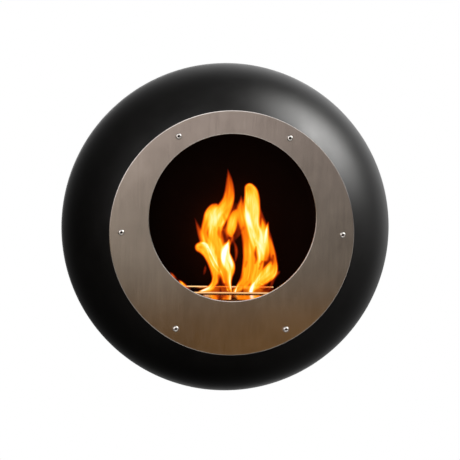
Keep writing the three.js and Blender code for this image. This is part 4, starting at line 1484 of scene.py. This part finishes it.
def world():
    """A studio: a big soft key light to the upper right, a strip of light over the
    camera, a wall in front that is warm grey above and brown wood below, and pale
    walls behind and to the right. The camera itself sees plain white."""
    w = bpy.data.worlds.new("studio")
    SCENE.world = w
    w.use_nodes = True
    t = w.node_tree
    t.nodes.clear()
    N, L = t.nodes.new, t.links.new

    def put(socket, v):
        if isinstance(v, (int, float)):
            socket.default_value = v
        elif isinstance(v, tuple):
            socket.default_value = (*v, 1)
        else:
            L(v, socket)

    def calc(op, a, b=0.0, c=0.0):
        n = N("ShaderNodeMath")
        n.operation = op
        for s, v in zip(n.inputs, (a, b, c)):
            put(s, v)
        return n.outputs[0]

    def span(value, lo, hi, a=0.0, b=1.0):
        n = N("ShaderNodeMapRange")
        n.interpolation_type = "SMOOTHSTEP"
        for k, v in (("From Min", lo), ("From Max", hi), ("To Min", a), ("To Max", b)):
            n.inputs[k].default_value = v
        L(value, n.inputs["Value"])
        return n.outputs["Result"]

    def ramp(value, stops):
        n = N("ShaderNodeValToRGB")
        e = n.color_ramp.elements
        while len(e) > 1:
            e.remove(e[-1])
        e[0].position, e[0].color = stops[0][0], (*stops[0][1], 1)
        for p, c in stops[1:]:
            e.new(p).color = (*c, 1)
        L(value, n.inputs[0])
        return n.outputs[0]

    def mix(f, a, b, how="MIX"):
        n = N("ShaderNodeMix")
        n.data_type = "RGBA"
        n.blend_type = how
        put(n.inputs[0], f)
        put(n.inputs[6], a)
        put(n.inputs[7], b)
        return n.outputs[2]

    def plane(cx, cy, cz, c0):
        """c0 + cx x + cy y + cz z"""
        v = calc("MULTIPLY_ADD", x, cx, c0)
        v = calc("MULTIPLY_ADD", y, cy, v)
        return calc("MULTIPLY_ADD", z, cz, v)

    def grey(v):
        n = N("ShaderNodeCombineColor")
        for s in n.inputs:
            L(v, s)
        return n.outputs[0]

    place = N("ShaderNodeTexCoord")
    split = N("ShaderNodeSeparateXYZ")
    L(place.outputs["Generated"], split.inputs[0])
    x, y, z = split.outputs
    # all round, and behind
    sides = calc("MAXIMUM", plane(0.026, 0.0, 0.026, 0.027), 0.002)
    right = calc("MULTIPLY", span(x, 0.50, 0.98, 0.0, 0.13), span(z, -0.40, 0.20))
    sides = calc("ADD", sides, right)
    rear = calc("MAXIMUM", plane(0.10, 0.0, 0.10, 0.14), 0.02)
    lobe = calc("POWER", calc("MAXIMUM", plane(0.707, 0.0, 0.707, 0.0), 0.0), 2.0)
    lobe = calc("DIVIDE", lobe, calc("MAXIMUM", calc("SUBTRACT", 1.0, calc("POWER", calc("ABSOLUTE", y), 2.0)), 0.02))
    rear = calc("MULTIPLY_ADD", lobe, 0.76, rear)
    low = calc("MAXIMUM", calc("SUBTRACT", 1.0, calc("POWER", calc("ABSOLUTE", y), 2.0)), 0.02)
    for cx, cz, much in ((-0.707, 0.707, 0.20), (0.342, -0.940, 0.30)):
        glow = calc("POWER", calc("MAXIMUM", plane(cx, 0.0, cz, 0.0), 0.0), 4.0)
        glow = calc("MULTIPLY", calc("DIVIDE", glow, calc("MULTIPLY", low, low)), span(y, 0.70, 0.86, 0.0, much))
        rear = calc("ADD", rear, glow)
    base = calc("MULTIPLY_ADD", calc("SUBTRACT", rear, sides), span(y, 0.25, 0.92), sides)
    back = calc("MAXIMUM", plane(0.9, 0.0, 1.0, 1.3), 0.5)
    base = calc("MULTIPLY_ADD", calc("SUBTRACT", back, base), span(y, 0.93, 0.985), base)
    colour = grey(base)
    # in front
    drop = N("ShaderNodeMapRange")
    drop.inputs["From Min"].default_value = -0.30
    drop.inputs["From Max"].default_value = 0.10
    L(z, drop.inputs["Value"])
    drop = drop.outputs["Result"]
    plaster = ramp(drop, [
        (0.0, (0.0, 0.0, 0.0)), (0.415, (0.0, 0.0, 0.0)), (0.45, (0.21, 0.178, 0.140)), (0.50, (0.305, 0.264, 0.222)),
        (0.56, (0.315, 0.275, 0.235)), (0.62, (0.36, 0.314, 0.275)), (0.67, (0.42, 0.366, 0.33)),
        (0.71, (0.555, 0.483, 0.447)), (0.78, (0.565, 0.49, 0.46)), (1.0, (0.57, 0.50, 0.47)),
    ])
    wood = ramp(drop, [(0.0, (0.5, 0.22, 0.01)), (0.36, (1.0, 0.43, 0.01)), (0.41, (1.0, 0.43, 0.01)), (0.445, (0.0, 0.0, 0.0))])
    lean = calc("MAXIMUM", plane(-7.7, 0.0, 0.0, 1.215), 0.04)
    front = mix(1.0, plaster, grey(lean), "MULTIPLY")
    front = mix(1.0, front, mix(1.0, wood, grey(calc("MAXIMUM", plane(1.3, 0.0, 0.0, 0.052), 0.03)), "MULTIPLY"), "ADD")
    low_wall = ramp(drop, [(0.0, (0.35, 0.31, 0.27)), (0.25, (0.35, 0.28, 0.20)), (0.415, (0.35, 0.26, 0.16)), (0.45, (0.0, 0.0, 0.0))])
    around = mix(1.0, plaster, low_wall, "ADD")
    around = mix(1.0, around, grey(plane(-0.55, 0.0, 0.0, 0.58)), "MULTIPLY")
    ahead = calc("MULTIPLY", y, -1.0)
    colour = mix(span(ahead, 0.54, 0.74), colour, around)
    colour = mix(span(ahead, 0.86, 0.95), colour, front)
    # the floor in front, lower than the front wall
    apron = calc("MULTIPLY", span(z, -0.19, -0.26), span(ahead, 0.54, 0.74))
    colour = mix(apron, colour, (0.34, 0.315, 0.29))
    # strips of light over the camera, and a weak one under it, that draw the edges
    ring = calc("MULTIPLY", span(y, -0.84, -0.78), span(y, -0.60, -0.67))
    over = calc("MULTIPLY", calc("MULTIPLY", ring, span(z, 0.02, 0.22)), span(x, 0.30, -0.10, 0.5, 1.0))
    colour = mix(1.0, colour, mix(over, (0.0, 0.0, 0.0), (1.84, 1.88, 1.92)), "ADD")
    under = calc("MULTIPLY", calc("MULTIPLY", ring, span(z, 0.05, -0.10)), span(x, -0.60, 0.20, 0.3, 1.0))
    colour = mix(1.0, colour, mix(under, (0.0, 0.0, 0.0), (0.60, 0.585, 0.56)), "ADD")
    # the key light: an ellipse 80 degrees off the front, up to the right
    ang, off = math.radians(43.0), math.radians(80.0)
    ca, sa, co, so = math.cos(ang), math.sin(ang), math.cos(off), math.sin(off)
    along = plane(-sa, 0.0, ca, 0.0)
    across = plane(co * ca, so, co * sa, 0.0)
    toward = plane(so * ca, -co, so * sa, 0.0)
    far = calc("SQRT", calc("ADD", calc("POWER", calc("ABSOLUTE", calc("MULTIPLY", along, 1 / 0.62)), 2.0),
                            calc("POWER", calc("ABSOLUTE", calc("MULTIPLY", across, 1 / 0.44)), 2.0)))
    key = calc("MULTIPLY", span(far, 1.0, 0.12), span(toward, 0.0, 0.25))
    colour = mix(1.0, colour, mix(key, (0.0, 0.0, 0.0), (6.0, 5.95, 5.85)), "ADD")
    lit = N("ShaderNodeBackground")
    L(colour, lit.inputs[0])
    white = N("ShaderNodeBackground")
    white.inputs[0].default_value = (1, 1, 1, 1)
    path = N("ShaderNodeLightPath")
    choose = N("ShaderNodeMixShader")
    L(path.outputs["Is Camera Ray"], choose.inputs[0])
    L(lit.outputs[0], choose.inputs[1])
    L(white.outputs[0], choose.inputs[2])
    out = N("ShaderNodeOutputWorld")
    L(choose.outputs[0], out.inputs[0])


def area(name, place, target, size, power, colour=(1, 1, 1)):
    d = bpy.data.lights.new(name, "AREA")
    d.shape = "DISK"
    d.size = size
    d.energy = power
    d.color = colour
    o = bpy.data.objects.new(name, d)
    SCENE.collection.objects.link(o)
    o.location = place
    o.rotation_euler = (Vector(place) - Vector(target)).to_track_quat("Z", "Y").to_euler()
    o.visible_camera = False
    return o


world()
area("softbox", (1.30, -0.75, 1.30), (0.0, -0.28, 0.0), 0.30, 1.2, (1.0, 0.985, 0.96))


def floor():
    n = 128
    verts = [(0.0, 400.0, -1600.0)] + [
        (2600.0 * math.cos(2 * PI * k / n), 400.0 + 2600.0 * math.sin(2 * PI * k / n), -1600.0) for k in range(n)
    ]
    faces = [(0, 1 + k, 1 + (k + 1) % n) for k in range(n)]
    ob = new_object("studio_floor", verts, faces)
    for p in ob.data.polygons:
        if p.normal.z < 0:
            p.flip()
    m = Mat("pale_floor", Roughness=0.8)
    m.p.inputs["Specular IOR Level"].default_value = 0.1
    c = m.coords()
    m.to("Base Color", m.ramp(m.noise(c, 3.0, 3.0), [(0.3, (0.78, 0.78, 0.775)), (0.7, (0.83, 0.83, 0.825))]))
    m.to("Roughness", m.span(m.noise(c, 30.0), 0.3, 0.7, 0.75, 0.9))
    ob.data.materials.append(m.m)
    ob.visible_glossy = False
    ob.visible_diffuse = False


floor()

SCENE.view_settings.view_transform = "Standard"
SCENE.view_settings.look = "None"
SCENE.view_settings.exposure = 0.0
SCENE.view_settings.gamma = 1.0
